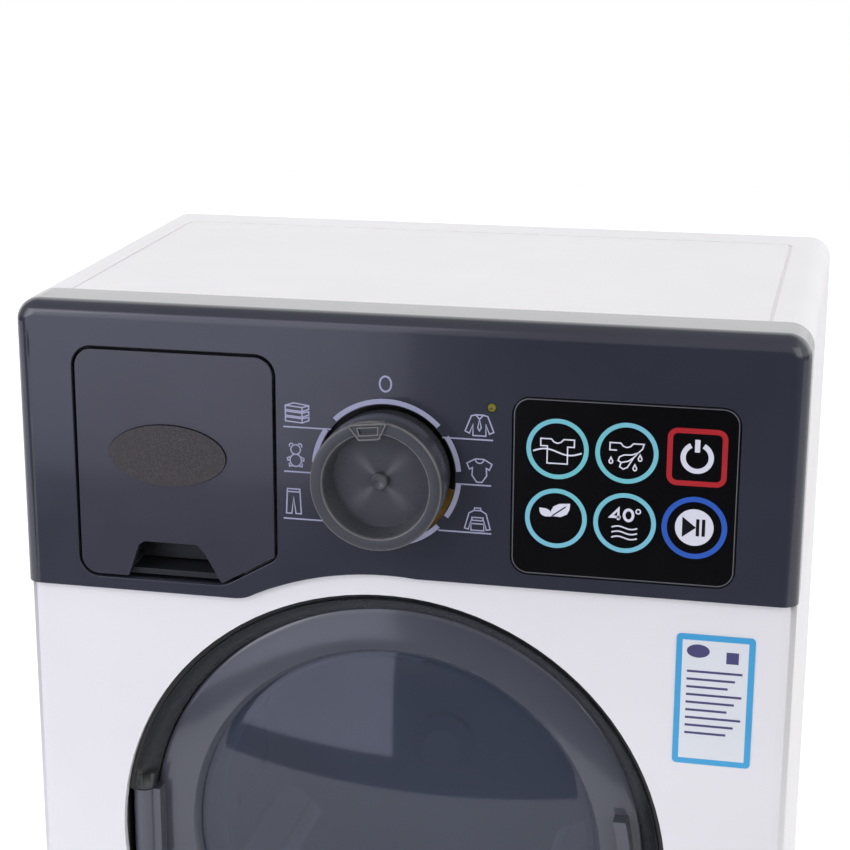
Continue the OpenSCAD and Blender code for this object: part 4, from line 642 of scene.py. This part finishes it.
def eased(tree, value, low, high, start=0, end=1):
    """A value that goes smoothly from start to end while the socket goes from low to high."""
    ramp = tree.nodes.new("ShaderNodeMapRange")
    ramp.interpolation_type = "SMOOTHSTEP"
    tree.links.new(value, ramp.inputs["Value"])
    for socket, number in (("From Min", low), ("From Max", high), ("To Min", start), ("To Max", end)):
        ramp.inputs[socket].default_value = number
    return ramp.outputs["Result"]


def flared_plastic(name, outer, inner, r_outer, r_inner):
    """Dark plastic with painted shade: darkest at the flare's lip and paler towards the door."""
    material = moulded_plastic(name, outer, outer, gloss=0.27, spread=0.06, grain=900, depth=0.0000012)
    tree, shader = material.node_tree, material.node_tree.nodes["Principled BSDF"]
    reach, *_ = from_centre(tree, door_middle)
    plain = shader.inputs["Base Color"].links[0].from_socket
    # Painted shade: the flare darkens from the inner radius out to its lip.
    tint = mixed(tree, eased(tree, reach, r_outer, r_inner), plain, inner)
    tree.links.new(tint, shader.inputs["Base Color"])
    return material


# The flare's painted shade runs from the lip, darkest, to the paler inner radius.
lip_r, shade_fade_r = 0.0664, 0.0624
bezel_plastic = flared_plastic("bezel_plastic", colour(26, 27, 30), colour(56, 58, 60), lip_r, shade_fade_r)
door_plastic = moulded_plastic(
    "door_plastic", colour(80, 82, 92), colour(74, 76, 86), gloss=0.14, spread=0.06,
    grain=700, depth=0.000002, coat=0.3, wave=0.00003)
bezel_edge, ring_edge = 0.0002, 0.00025
eased_copy("door_bezel", "case", bezel_plastic, bezel_edge, bezel_low.y)
eased_copy("door_ring", "door", door_plastic, ring_edge)


def smoked_window(name, tint):
    """Clear smoked plastic with faint hairlines in its gloss."""
    material, tree, shader = shaded_material(name)
    place = own_place(tree)
    hairs = noise(tree, place, 900, 3)
    tree.links.new(reckon(tree, "MULTIPLY_ADD", hairs, 0.05, 0.02), shader.inputs["Roughness"])
    haze = mixed(tree, noise(tree, place, 30, 2), tint, colour(122, 132, 152))
    tree.links.new(haze, shader.inputs["Base Color"])
    shader.inputs["Transmission Weight"].default_value = 0.9
    shader.inputs["IOR"].default_value = 1.49
    return material


window_plastic = smoked_window("window_plastic", colour(124, 128, 144))
pane_low, pane_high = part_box("door_window")
pane_centre = ((pane_low.x + pane_high.x) / 2, 0, (pane_low.z + pane_high.z) / 2)
pane_r, pane_thick = (pane_high.x - pane_low.x) / 2, 0.0018
pane_lip, lip_thick = 0.0045, 0.002
seat_y = pane_high.y - lip_thick
dome_r, dome_high = pane_r - pane_lip, seat_y - pane_low.y
ball = (dome_r ** 2 + dome_high ** 2) / 2 / dome_high


def dome(thick, steps=28):
    """The window's crown, from its middle to its rim."""
    size = ball - thick
    spread = math.asin(dome_r / ball)
    return [(size * math.sin(spread * i / steps), pane_low.y + ball - size * math.cos(spread * i / steps))
            for i in range(steps + 1)]


pane_mesh = bmesh.new()
pane_rim = [(pane_r, seat_y), (pane_r, pane_high.y), (dome_r, pane_high.y)]
lathed(pane_mesh, dome(0) + pane_rim + dome(pane_thick)[::-1], pane_centre, steps=160)
window = smooth_piece("window", pane_mesh, window_plastic, "door", "window_plastic", "door_window")
window.visible_shadow = False
inner_plastic = moulded_plastic("inner_plastic", colour(206, 207, 212), colour(196, 197, 203), gloss=0.42)
finish_with(inner_plastic, "door_inner_ring", "drum_support", "motor_mount")
finish_with(steel, "door_screws", "door_hinge_pin")


# Drum
# A silver-grey moulded drum with rows of holes; three white lifters stand on its wall.
# Its shaft runs in a brass bush and carries the large gear.
drum_plastic = moulded_plastic(
    "drum_plastic", colour(178, 180, 186), colour(164, 166, 173), gloss=0.3, grain=1800, depth=0.000008)
finish_with(drum_plastic, "drum")
finish_with(white_plastic, "lifter_1", "lifter_2", "lifter_3")
finish_with(steel, "drum_shaft", "motor_shaft", "drum_motor")


# Power, sound, feet and screws
# Three cells lie in the bay at the back; the speaker sits behind its grille.
# The feet are soft grey rubber, the screws zinc-plated steel.
band_from, end_from = 0.0135, 0.0262


def printed_cell(name):
    """A cell's jacket: dark blue film with a paler band at one end, and bare metal ends."""
    material, tree, shader = shaded_material(name)
    place = own_place(tree)
    split = tree.nodes.new("ShaderNodeSeparateXYZ")
    tree.links.new(place, split.inputs[0])
    along = reckon(tree, "ABSOLUTE", split.outputs["X"])
    band = reckon(tree, "GREATER_THAN", along, band_from)
    end = reckon(tree, "GREATER_THAN", along, end_from)
    jacket = mixed(tree, band, colour(38, 62, 118), colour(206, 158, 72))
    tree.links.new(mixed(tree, end, jacket, colour(190, 192, 198)), shader.inputs["Base Color"])
    rough = reckon(tree, "MULTIPLY_ADD", noise(tree, place, 260, 3), 0.16, 0.2)
    tree.links.new(rough, shader.inputs["Roughness"])
    tree.links.new(reckon(tree, "MULTIPLY", end, 0.9), shader.inputs["Metallic"])
    roughen(tree, shader, noise(tree, place, 700, 2), 0.000006)
    return material


cell_jacket = printed_cell("cell_jacket")
finish_with(cell_jacket, "battery_1", "battery_2", "battery_3")
finish_with(steel, "battery_contacts", "case_screws", "panel_screws", "housing_screws", "bezel_screws",
            "support_screws", "mount_screws", "board_screws", "speaker_screws", "battery_screw")
speaker_black = moulded_plastic("speaker_black", colour(40, 40, 42), colour(30, 30, 33), gloss=0.55)
finish_with(speaker_black, "speaker")
rubber = moulded_plastic(
    "rubber", colour(72, 72, 75), colour(62, 62, 66), gloss=0.75, grain=1600, depth=0.00002)
finish_with(rubber, "foot_1", "foot_2", "foot_3", "foot_4")


# Printed marks of the dial
# Pale lavender ink on the panel: arcs round the knob, thin lines, small pictures of clothes, and a 0.
# The ink stands a few hundredths of a millimetre above the plastic.
mm = 0.001
dial_x, dial_z = knob_centre[0] / mm, knob_centre[2] / mm
ink_thick, ink_proud, stroke_step, plate_step = 0.00008, 0.00003, 0.0000004, 0.0000005


def bow(x, z, radius, start, end, steps=24, squash=1.0):
    """Points of an arc, in millimetres, clockwise from the top in degrees."""
    return [(x + radius * math.sin(math.radians(start + (end - start) * i / steps)),
             z + squash * radius * math.cos(math.radians(start + (end - start) * i / steps)))
            for i in range(steps + 1)]


def hoop(x, z, radius, squash=1.0, steps=48):
    """Points round a closed circle or oval."""
    return bow(x, z, radius, 0, 360, steps, squash)[:-1]


def ribbon(points, width, closed):
    """The two edges of a stroke of even width along these points, with mitred corners."""
    count = len(points)
    sides = ([], [])
    for i, here in enumerate(points):
        before = points[i - 1] if i or closed else None
        after = points[(i + 1) % count] if i < count - 1 or closed else None
        normals = []
        for a, b in ((before, here), (here, after)):
            if a is not None and b is not None:
                step = Vector((b[0] - a[0], b[1] - a[1])).normalized()
                normals.append(Vector((-step.y, step.x)))
        across = (normals[0] + normals[-1]).normalized()
        reach = width / 2 / max(across.dot(normals[0]), 0.45)
        for side, sign in zip(sides, (1, -1)):
            side.append((here[0] + sign * across.x * reach, here[1] + sign * across.y * reach))
    return sides


def raised_shape(mesh, face, thick, y):
    """Adds a flat face, given in x and z, as a thin plate whose front lies at y."""
    front = [mesh.verts.new((x * mm, y, z * mm)) for x, z in face]
    back = [mesh.verts.new((x * mm, y + thick, z * mm)) for x, z in face]
    mesh.faces.new(front)
    mesh.faces.new(back[::-1])
    for i in range(len(face)):
        j = (i + 1) % len(face)
        mesh.faces.new((front[i], back[i], back[j], front[j]))


def raised_stroke(mesh, points, width, closed, thick, y):
    """Adds a stroke along these points as a thin raised line."""
    left, right_side = ribbon(points, width, closed)
    rows = [[mesh.verts.new((p[0] * mm, depth, p[1] * mm)) for p in side]
            for side, depth in ((left, y), (right_side, y), (right_side, y + thick), (left, y + thick))]
    count = len(points)
    for i in range(count if closed else count - 1):
        j = (i + 1) % count
        for a, b in ((0, 1), (1, 2), (2, 3), (3, 0)):
            mesh.faces.new((rows[a][i], rows[a][j], rows[b][j], rows[b][i]))
    if not closed:
        for i in (0, count - 1):
            mesh.faces.new([row[i] for row in rows])


def printed(name, ink, face_y, strokes=(), plates=()):
    """A piece of ink on a face: strokes are (points, width, closed), plates are closed outlines."""
    mesh = bmesh.new()
    for i, (points, width, closed) in enumerate(strokes):
        raised_stroke(mesh, points, width, closed, ink_thick, face_y - ink_proud - i * stroke_step)
    for i, outline in enumerate(plates):
        raised_shape(mesh, outline, ink_thick, face_y - ink_proud - (i + 1) * plate_step)
    bmesh.ops.recalc_face_normals(mesh, faces=mesh.faces)
    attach(piece_of(name, mesh, ink), "case")


def placed(points, x, z, size=1.0, mirrored=False):
    """Moves points drawn about their own middle to a place on the panel."""
    return [(x + (-px if mirrored else px) * size, z + pz * size) for px, pz in points]


def print_ink(name, tint, shade, gloss=0.4):
    """Screen-printed ink with a slightly uneven cover."""
    return moulded_plastic(name, tint, shade, gloss, spread=0.1, grain=5200, depth=0.000004)


lavender_ink = print_ink("lavender_ink", colour(176, 178, 204), colour(160, 162, 190))
arc_middle, arc_width, thin = 17.1, 1.16, 0.34
arc_spans = ((-45, 46), (56, 85), (95, 124), (134, 161), (-85, -56), (-124, -95), (-161, -134))
dial_arcs = [(bow(dial_x, dial_z, arc_middle, start, end), arc_width, False) for start, end in arc_spans]
underlines = [([(x0, z), (x1, z)], thin, False)
              for x0, x1, z in ((11.2, 22.9, 212.6), (14.4, 22.6, 201.8), (10.4, 22.8, 190.3),
                                (-26.4, -15.0, 212.9), (-26.3, -18.4, 202.1), (-26.6, -14.4, 190.6))]
zero_mark = [(hoop(dial_x - 0.1, 224.4, 1.35, 1.32), 0.42, True)]
printed("dial_scale", lavender_ink, panel_front, dial_arcs + underlines + zero_mark)

picture = 0.3
towel_stack = []
for level in range(3):
    low_z = -1.9 + level * 1.35
    towel_stack += [
        ([(-2.9, low_z), (-2.9, low_z + 1.0), (1.1, low_z + 0.7), (1.1, low_z - 0.3)], picture, True),
        ([(1.1, low_z - 0.3), (2.7, low_z + 0.35), (2.7, low_z + 1.15), (1.1, low_z + 0.7)], picture, False)]
towel_stack.append(([(-2.9, 1.8), (-0.9, 2.5), (2.7, 2.0)], picture, False))
soft_toy = [(hoop(0, 1.5, 1.15), picture, True), (hoop(0, -1.1, 1.35, 1.1), picture, True)]
soft_toy += [(bow(s * 1.0, 2.45, 0.5, s * 40 - 90, s * 40 + 90, 10), picture, False) for s in (-1, 1)]
soft_toy += [([(s * 1.1, -0.2), (s * 2.0, -0.6), (s * 1.9, -1.2), (s * 1.35, -1.0)], picture, False)
             for s in (-1, 1)]
soft_toy += [([(s * 0.5, -2.4), (s * 1.5, -2.6), (s * 1.6, -1.8)], picture, False) for s in (-1, 1)]
trousers = [([(-1.5, 3.0), (1.5, 3.0), (1.8, -3.0), (0.5, -3.0), (0, 1.0), (-0.5, -3.0), (-1.8, -3.0)],
             picture, True),
            ([(-1.5, 2.3), (1.5, 2.3)], picture, False)]
shirt = [([(-0.9, 2.4), (-1.9, 2.1), (-3.3, -1.5), (-2.3, -2.0), (-1.5, 0.1), (-1.5, -2.5), (1.5, -2.5),
           (1.5, 0.1), (2.3, -2.0), (3.3, -1.5), (1.9, 2.1), (0.9, 2.4)], picture, True),
         ([(-0.9, 2.4), (0, 1.4), (0.9, 2.4)], picture, False),
         ([(0, 1.4), (-0.4, -0.6), (0, -1.3), (0.4, -0.6)], picture, True)]
baby_suit = [([(-1.0, 2.7), (-2.9, 1.6), (-2.3, 0.2), (-1.6, 0.6), (-1.7, -1.2), (-0.6, -2.8), (0.6, -2.8),
               (1.7, -1.2), (1.6, 0.6), (2.3, 0.2), (2.9, 1.6), (1.0, 2.7)], picture, True),
             (bow(0, 2.7, 1.0, 100, 260, 12), picture, False)]
jumper = [([(-0.8, 2.2), (-2.0, 1.5), (-3.0, -2.2), (-2.1, -2.4), (-1.5, -0.2), (-1.5, -2.6), (1.5, -2.6),
            (1.5, -0.2), (2.1, -2.4), (3.0, -2.2), (2.0, 1.5), (0.8, 2.2)], picture, True),
          ([(-0.8, 2.2), (-0.7, 2.8), (0.7, 2.8), (0.8, 2.2)], picture, False),
          ([(-1.3, 0.5), (1.3, 0.5), (1.3, -0.2), (-1.3, -0.2)], picture, True),
          ([(-1.3, -1.0), (1.3, -1.0)], picture, False)]
pictures = ((towel_stack, -22.95, 216.2), (soft_toy, -23.5, 206.0), (trousers, -24.1, 194.9),
            (shirt, 19.75, 216.0), (baby_suit, 19.85, 205.3), (jumper, 19.55, 193.5))
printed("wash_pictures", lavender_ink, panel_front,
        [(placed(points, x, z), width, closed)
         for strokes, x, z in pictures for points, width, closed in strokes])


# Printed marks of the touch plate
# Four cyan rings, a red square and a blue ring, each round a white picture of what it does.
# The colours are printed on the black plate under a thin clear layer.
touch_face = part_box("touch_plate")[0].y
cyan_ink = print_ink("cyan_ink", colour(112, 196, 200), colour(126, 190, 214), gloss=0.25)
white_ink = print_ink("white_ink", colour(226, 227, 238), colour(214, 215, 228), gloss=0.25)
red_ink = print_ink("red_ink", colour(182, 44, 50), colour(170, 38, 46), gloss=0.25)
blue_ink = print_ink("blue_ink", colour(52, 96, 190), colour(46, 88, 178), gloss=0.25)
black_ink = print_ink("black_ink", colour(18, 18, 21), colour(14, 14, 17), gloss=0.25)
columns = (37.6, 53.2, 68.8)
rows_z = (211.5, 195.1)


def rounded_box(x, z, width, height, radius):
    """Points round a rectangle with round corners, about its middle."""
    return [p for k, (sx, sz) in enumerate(((1, 1), (1, -1), (-1, -1), (-1, 1)))
            for p in bow(x + sx * (width / 2 - radius), z + sz * (height / 2 - radius), radius,
                         90 * k, 90 * k + 90, 8)]


def wave(x0, x1, z, swing, steps=24, turns=1.0):
    """Points along a wavy line from x0 to x1."""
    return [(x0 + (x1 - x0) * i / steps, z + swing * math.sin(2 * math.pi * turns * i / steps))
            for i in range(steps + 1)]


printed("cyan_rings", cyan_ink, touch_face,
        [(hoop(x, z, 6.54, steps=72), 1.05, True) for x in columns[:2] for z in rows_z])
plate_low, plate_high = (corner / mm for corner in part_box("touch_plate"))
# A thin pale line just inside the plate's rim is a painted highlight, in place of the light on the clear
# layer's bevelled edge.
plate_edge_highlight = print_ink("plate_edge_highlight", colour(104, 106, 112), colour(92, 94, 100), gloss=0.3)
border_in, border_r = 0.42, 3.6
plate_highlight_line = rounded_box(
    (plate_low.x + plate_high.x) / 2, (plate_low.z + plate_high.z) / 2,
    plate_high.x - plate_low.x - 2 * border_in, plate_high.z - plate_low.z - 2 * border_in, border_r)
printed("plate_highlight_line", plate_edge_highlight, touch_face, [(plate_highlight_line, 0.2, True)])
printed("red_square", red_ink, touch_face, [(rounded_box(columns[2], rows_z[0], 12.1, 12.1, 1.7), 1.2, True)])
printed("blue_ring", blue_ink, touch_face, [(hoop(columns[2], rows_z[1], 6.7, steps=72), 1.2, True)])

line = 0.3
vest = [(-3.8, 2.3), (-1.4, 2.3), (-0.8, 1.6), (0, 1.35), (0.8, 1.6), (1.4, 2.3), (3.8, 2.3), (3.8, 0.6),
        (2.3, 0.6), (2.3, -3.4), (-2.3, -3.4), (-2.3, 0.6), (-3.8, 0.6)]
wrung = [(-2.2, 0.6), (-3.8, 0.6), (-3.8, 2.3), (-1.4, 2.3), (-0.8, 1.6), (0, 1.35), (0.8, 1.6), (1.4, 2.3),
         (3.8, 2.3), (3.5, 1.2), (2.6, 0.3), (1.2, -0.3), (-0.6, -0.4), (-1.6, -0.9), (-1.9, -1.8),
         (-1.2, -2.2), (0.4, -1.8), (1.6, -0.9), (2.6, 0.3)]
tail = [(-1.2, -2.2), (-1.5, -3.2), (-0.7, -3.7), (0.2, -3.3), (1.6, -0.9)]
drop = [(0, 0.75), (0.42, -0.1), (0.3, -0.5), (0, -0.65), (-0.3, -0.5), (-0.42, -0.1)]
leaf = [(-2.0, -1.5), (-2.1, -0.3), (-1.5, 0.8), (-0.2, 1.5),
        (2.3, 1.7), (2.2, 0.3), (1.6, -0.9), (0.2, -1.6)]
leaf_rib = [(-1.7, -1.4), (-0.4, -0.4), (1.3, 0.9)]
power_turn = bow(columns[2], rows_z[0] - 0.05, 3.1, 27, 333, 40)
play_x, play_z = columns[2], rows_z[1] + 0.1
four = [(0.75, -1.25), (0.75, 1.35), (-0.95, -0.55), (1.3, -0.55)]
number_x, number_z = columns[1] - 0.3, rows_z[1] + 1.9
white_strokes = [
    (placed(vest, columns[0], rows_z[0]), line, True),
    (wave(columns[0] - 5.5, columns[0] + 5.5, rows_z[0] - 0.7, 0.65), 0.36, False),
    (placed(wrung, columns[1], rows_z[0]), line, False),
    (placed(tail, columns[1], rows_z[0]), line, False),
    (power_turn, 1.15, False),
    ([(columns[2], rows_z[0] + 4.1), (columns[2], rows_z[0] + 1.2)], 1.15, False),
    (placed(four, number_x - 1.9, number_z), 0.62, False),
    (hoop(number_x + 1.15, number_z, 1.0, 1.3), 0.62, True),
    (hoop(number_x + 3.3, number_z + 1.0, 0.5), 0.3, True),
]
white_strokes += [(placed(drop, columns[1] + x, rows_z[0] + z), line, True)
                  for x, z in ((-3.5, -1.9), (3.0, -1.0), (1.9, -3.3))]
white_strokes += [(wave(columns[1] - 2.9, columns[1] + 2.9, rows_z[1] - z, 0.32), 0.34, False)
                  for z in (1.1, 2.3, 3.5)]
printed("white_pictures", white_ink, touch_face, white_strokes,
        [placed(leaf, columns[0] + 0.9, rows_z[1] + 2.0),
         placed(leaf, columns[0] - 2.4, rows_z[1] + 1.3, 0.62, mirrored=True),
         hoop(play_x, play_z, 4.3, steps=56)])
over_print = 0.00002
printed("black_pictures", black_ink, touch_face - over_print,
        [(placed(leaf_rib, columns[0] + 0.9, rows_z[1] + 2.0), 0.3, False),
         ([(play_x + 0.75, play_z + 2.0), (play_x + 0.75, play_z - 2.0)], 0.75, False),
         ([(play_x + 2.05, play_z + 2.0), (play_x + 2.05, play_z - 2.0)], 0.75, False)],
        [[(play_x - 2.7, play_z + 2.4), (play_x + 0.4, play_z), (play_x - 2.7, play_z - 2.4)]])


# Sticker
# A small paper label in the corner of the front: blue border, white field, plain bars and blocks.
# It is glued on flat and can be peeled off.
sticker_film = print_ink("sticker_film", colour(70, 166, 216), colour(60, 156, 210), gloss=0.35)
finish_with(sticker_film, "sticker")
sticker_low, sticker_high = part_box("sticker")
left, right_x = sticker_low.x / mm, sticker_high.x / mm
foot_z, head_z = sticker_low.z / mm, sticker_high.z / mm
paper = print_ink("label_paper", colour(224, 227, 231), colour(216, 220, 226), gloss=0.5)
violet_ink = print_ink("violet_ink", colour(74, 72, 120), colour(66, 64, 110))
border = 1.4
printed("label_field", paper, sticker_low.y, plates=[
    [(left + border, foot_z + border), (right_x - border, foot_z + border),
     (right_x - border, head_z - border), (left + border, head_z - border)]])
bar_in, bar_width, first_bar, bar_step = 1.2, 0.55, 9.0, 1.9
bars = [(left + border + bar_in, right_x - border - bar_in - (k % 3) * 1.6, head_z - first_bar - k * bar_step)
        for k in range(9)]
printed("label_blocks", violet_ink, sticker_low.y - ink_proud,
        [([(x0, z), (x1, z)], bar_width, False) for x0, x1, z in bars],
        [hoop(left + border + 3.6, head_z - border - 2.6, 2.6, 0.62, 32),
         [(right_x - 6.4, head_z - 6.6), (right_x - 3.6, head_z - 6.6), (right_x - 3.6, head_z - 3.8),
          (right_x - 6.4, head_z - 3.8)]])


# Floor and light
# A plain white table, large soft boxes to the left and right, and a bright backdrop behind.
# Seen straight or through the window, all beyond the machine is plain white; the floor keeps its shadow.
table_width, table_front, table_back, table_corner = 2.4, -0.42, 1.6, 0.1
table_mesh = bmesh.new()
table_mesh.faces.new([table_mesh.verts.new((x, y, 0)) for x, y in rounded_box(
    0, (table_front + table_back) / 2, table_width, table_back - table_front, table_corner)])
bmesh.ops.recalc_face_normals(table_mesh, faces=table_mesh.faces)
floor_paint, floor_tree, floor_shader = shaded_material("floor_paint")
floor_cloud = noise(floor_tree, own_place(floor_tree), 3, 2)
floor_tint = mixed(floor_tree, floor_cloud, colour(244, 244, 245), colour(247, 247, 248))
floor_tree.links.new(floor_tint, floor_shader.inputs["Base Color"])
floor_shader.inputs["Roughness"].default_value = 0.85
seen_floor = floor_tree.nodes.new("ShaderNodeLightPath").outputs["Is Camera Ray"]
floor_glow = reckon(floor_tree, "MULTIPLY", seen_floor, 0.3)
floor_tree.links.new(floor_glow, floor_shader.inputs["Emission Strength"])
floor_shader.inputs["Emission Color"].default_value = (1, 1, 1, 1)
piece_of("floor", table_mesh, floor_paint)


def soft_box(name, place, aim, width, height, radiance):
    """A rectangular soft box at a place, turned to a point, this much brighter than white paper."""
    lamp = bpy.data.lights.new(name, "AREA")
    lamp.shape = "RECTANGLE"
    lamp.size, lamp.size_y = width, height
    lamp.energy = math.pi * width * height * radiance
    holder = bpy.data.objects.new(name, lamp)
    holder.location = place
    holder.rotation_euler = (Vector(aim) - Vector(place)).to_track_quat("-Z", "Y").to_euler()
    holder.visible_camera = False
    bpy.context.scene.collection.objects.link(holder)
    return holder


door_height = (0, 0, 0.15)
soft_box("box_left", (-1.25, -1.3, 0.78), door_height, width=1.2, height=1.2, radiance=1.75)
soft_box("box_right", (1.1, -1.3, 0.74), door_height, width=1.1, height=1.1, radiance=1.2)
card = soft_box("card_left", (-0.58, -0.9, 0.5), (-0.58, 0, 0.5), width=0.8, height=1.14, radiance=1.3)
card.data.color = (0.92, 0.94, 1.16)
world = bpy.data.worlds.new("world")
bpy.context.scene.world = world
world.use_nodes = True
air = world.node_tree
sky = air.nodes["Background"]
sky.inputs["Color"].default_value = (1, 1, 1, 1)
towards = air.nodes.new("ShaderNodeSeparateXYZ")
air.links.new(air.nodes.new("ShaderNodeTexCoord").outputs["Generated"], towards.inputs[0])
table_dip, table_rise = -0.06, 0.1
room = eased(air, towards.outputs["Z"], table_dip, table_rise, start=0.03, end=0.48)
backdrop = reckon(air, "MULTIPLY", eased(air, towards.outputs["Y"], 0.15, 0.5, end=0.98),
                  eased(air, towards.outputs["Z"], 0.95, 0.7))
side = reckon(air, "MULTIPLY", eased(air, towards.outputs["X"], 0.35, 0.8, end=0.7),
              eased(air, towards.outputs["Z"], table_dip, table_rise, start=0.2))
lit = reckon(air, "ADD", reckon(air, "ADD", room, side), backdrop)
path = air.nodes.new("ShaderNodeLightPath").outputs
seen = reckon(air, "MAXIMUM", path["Is Camera Ray"], path["Is Transmission Ray"])
strength = reckon(air, "ADD", reckon(air, "MULTIPLY", lit, reckon(air, "SUBTRACT", 1, seen)), seen)
air.links.new(strength, sky.inputs["Strength"])
bpy.context.scene.view_settings.view_transform = "Standard"
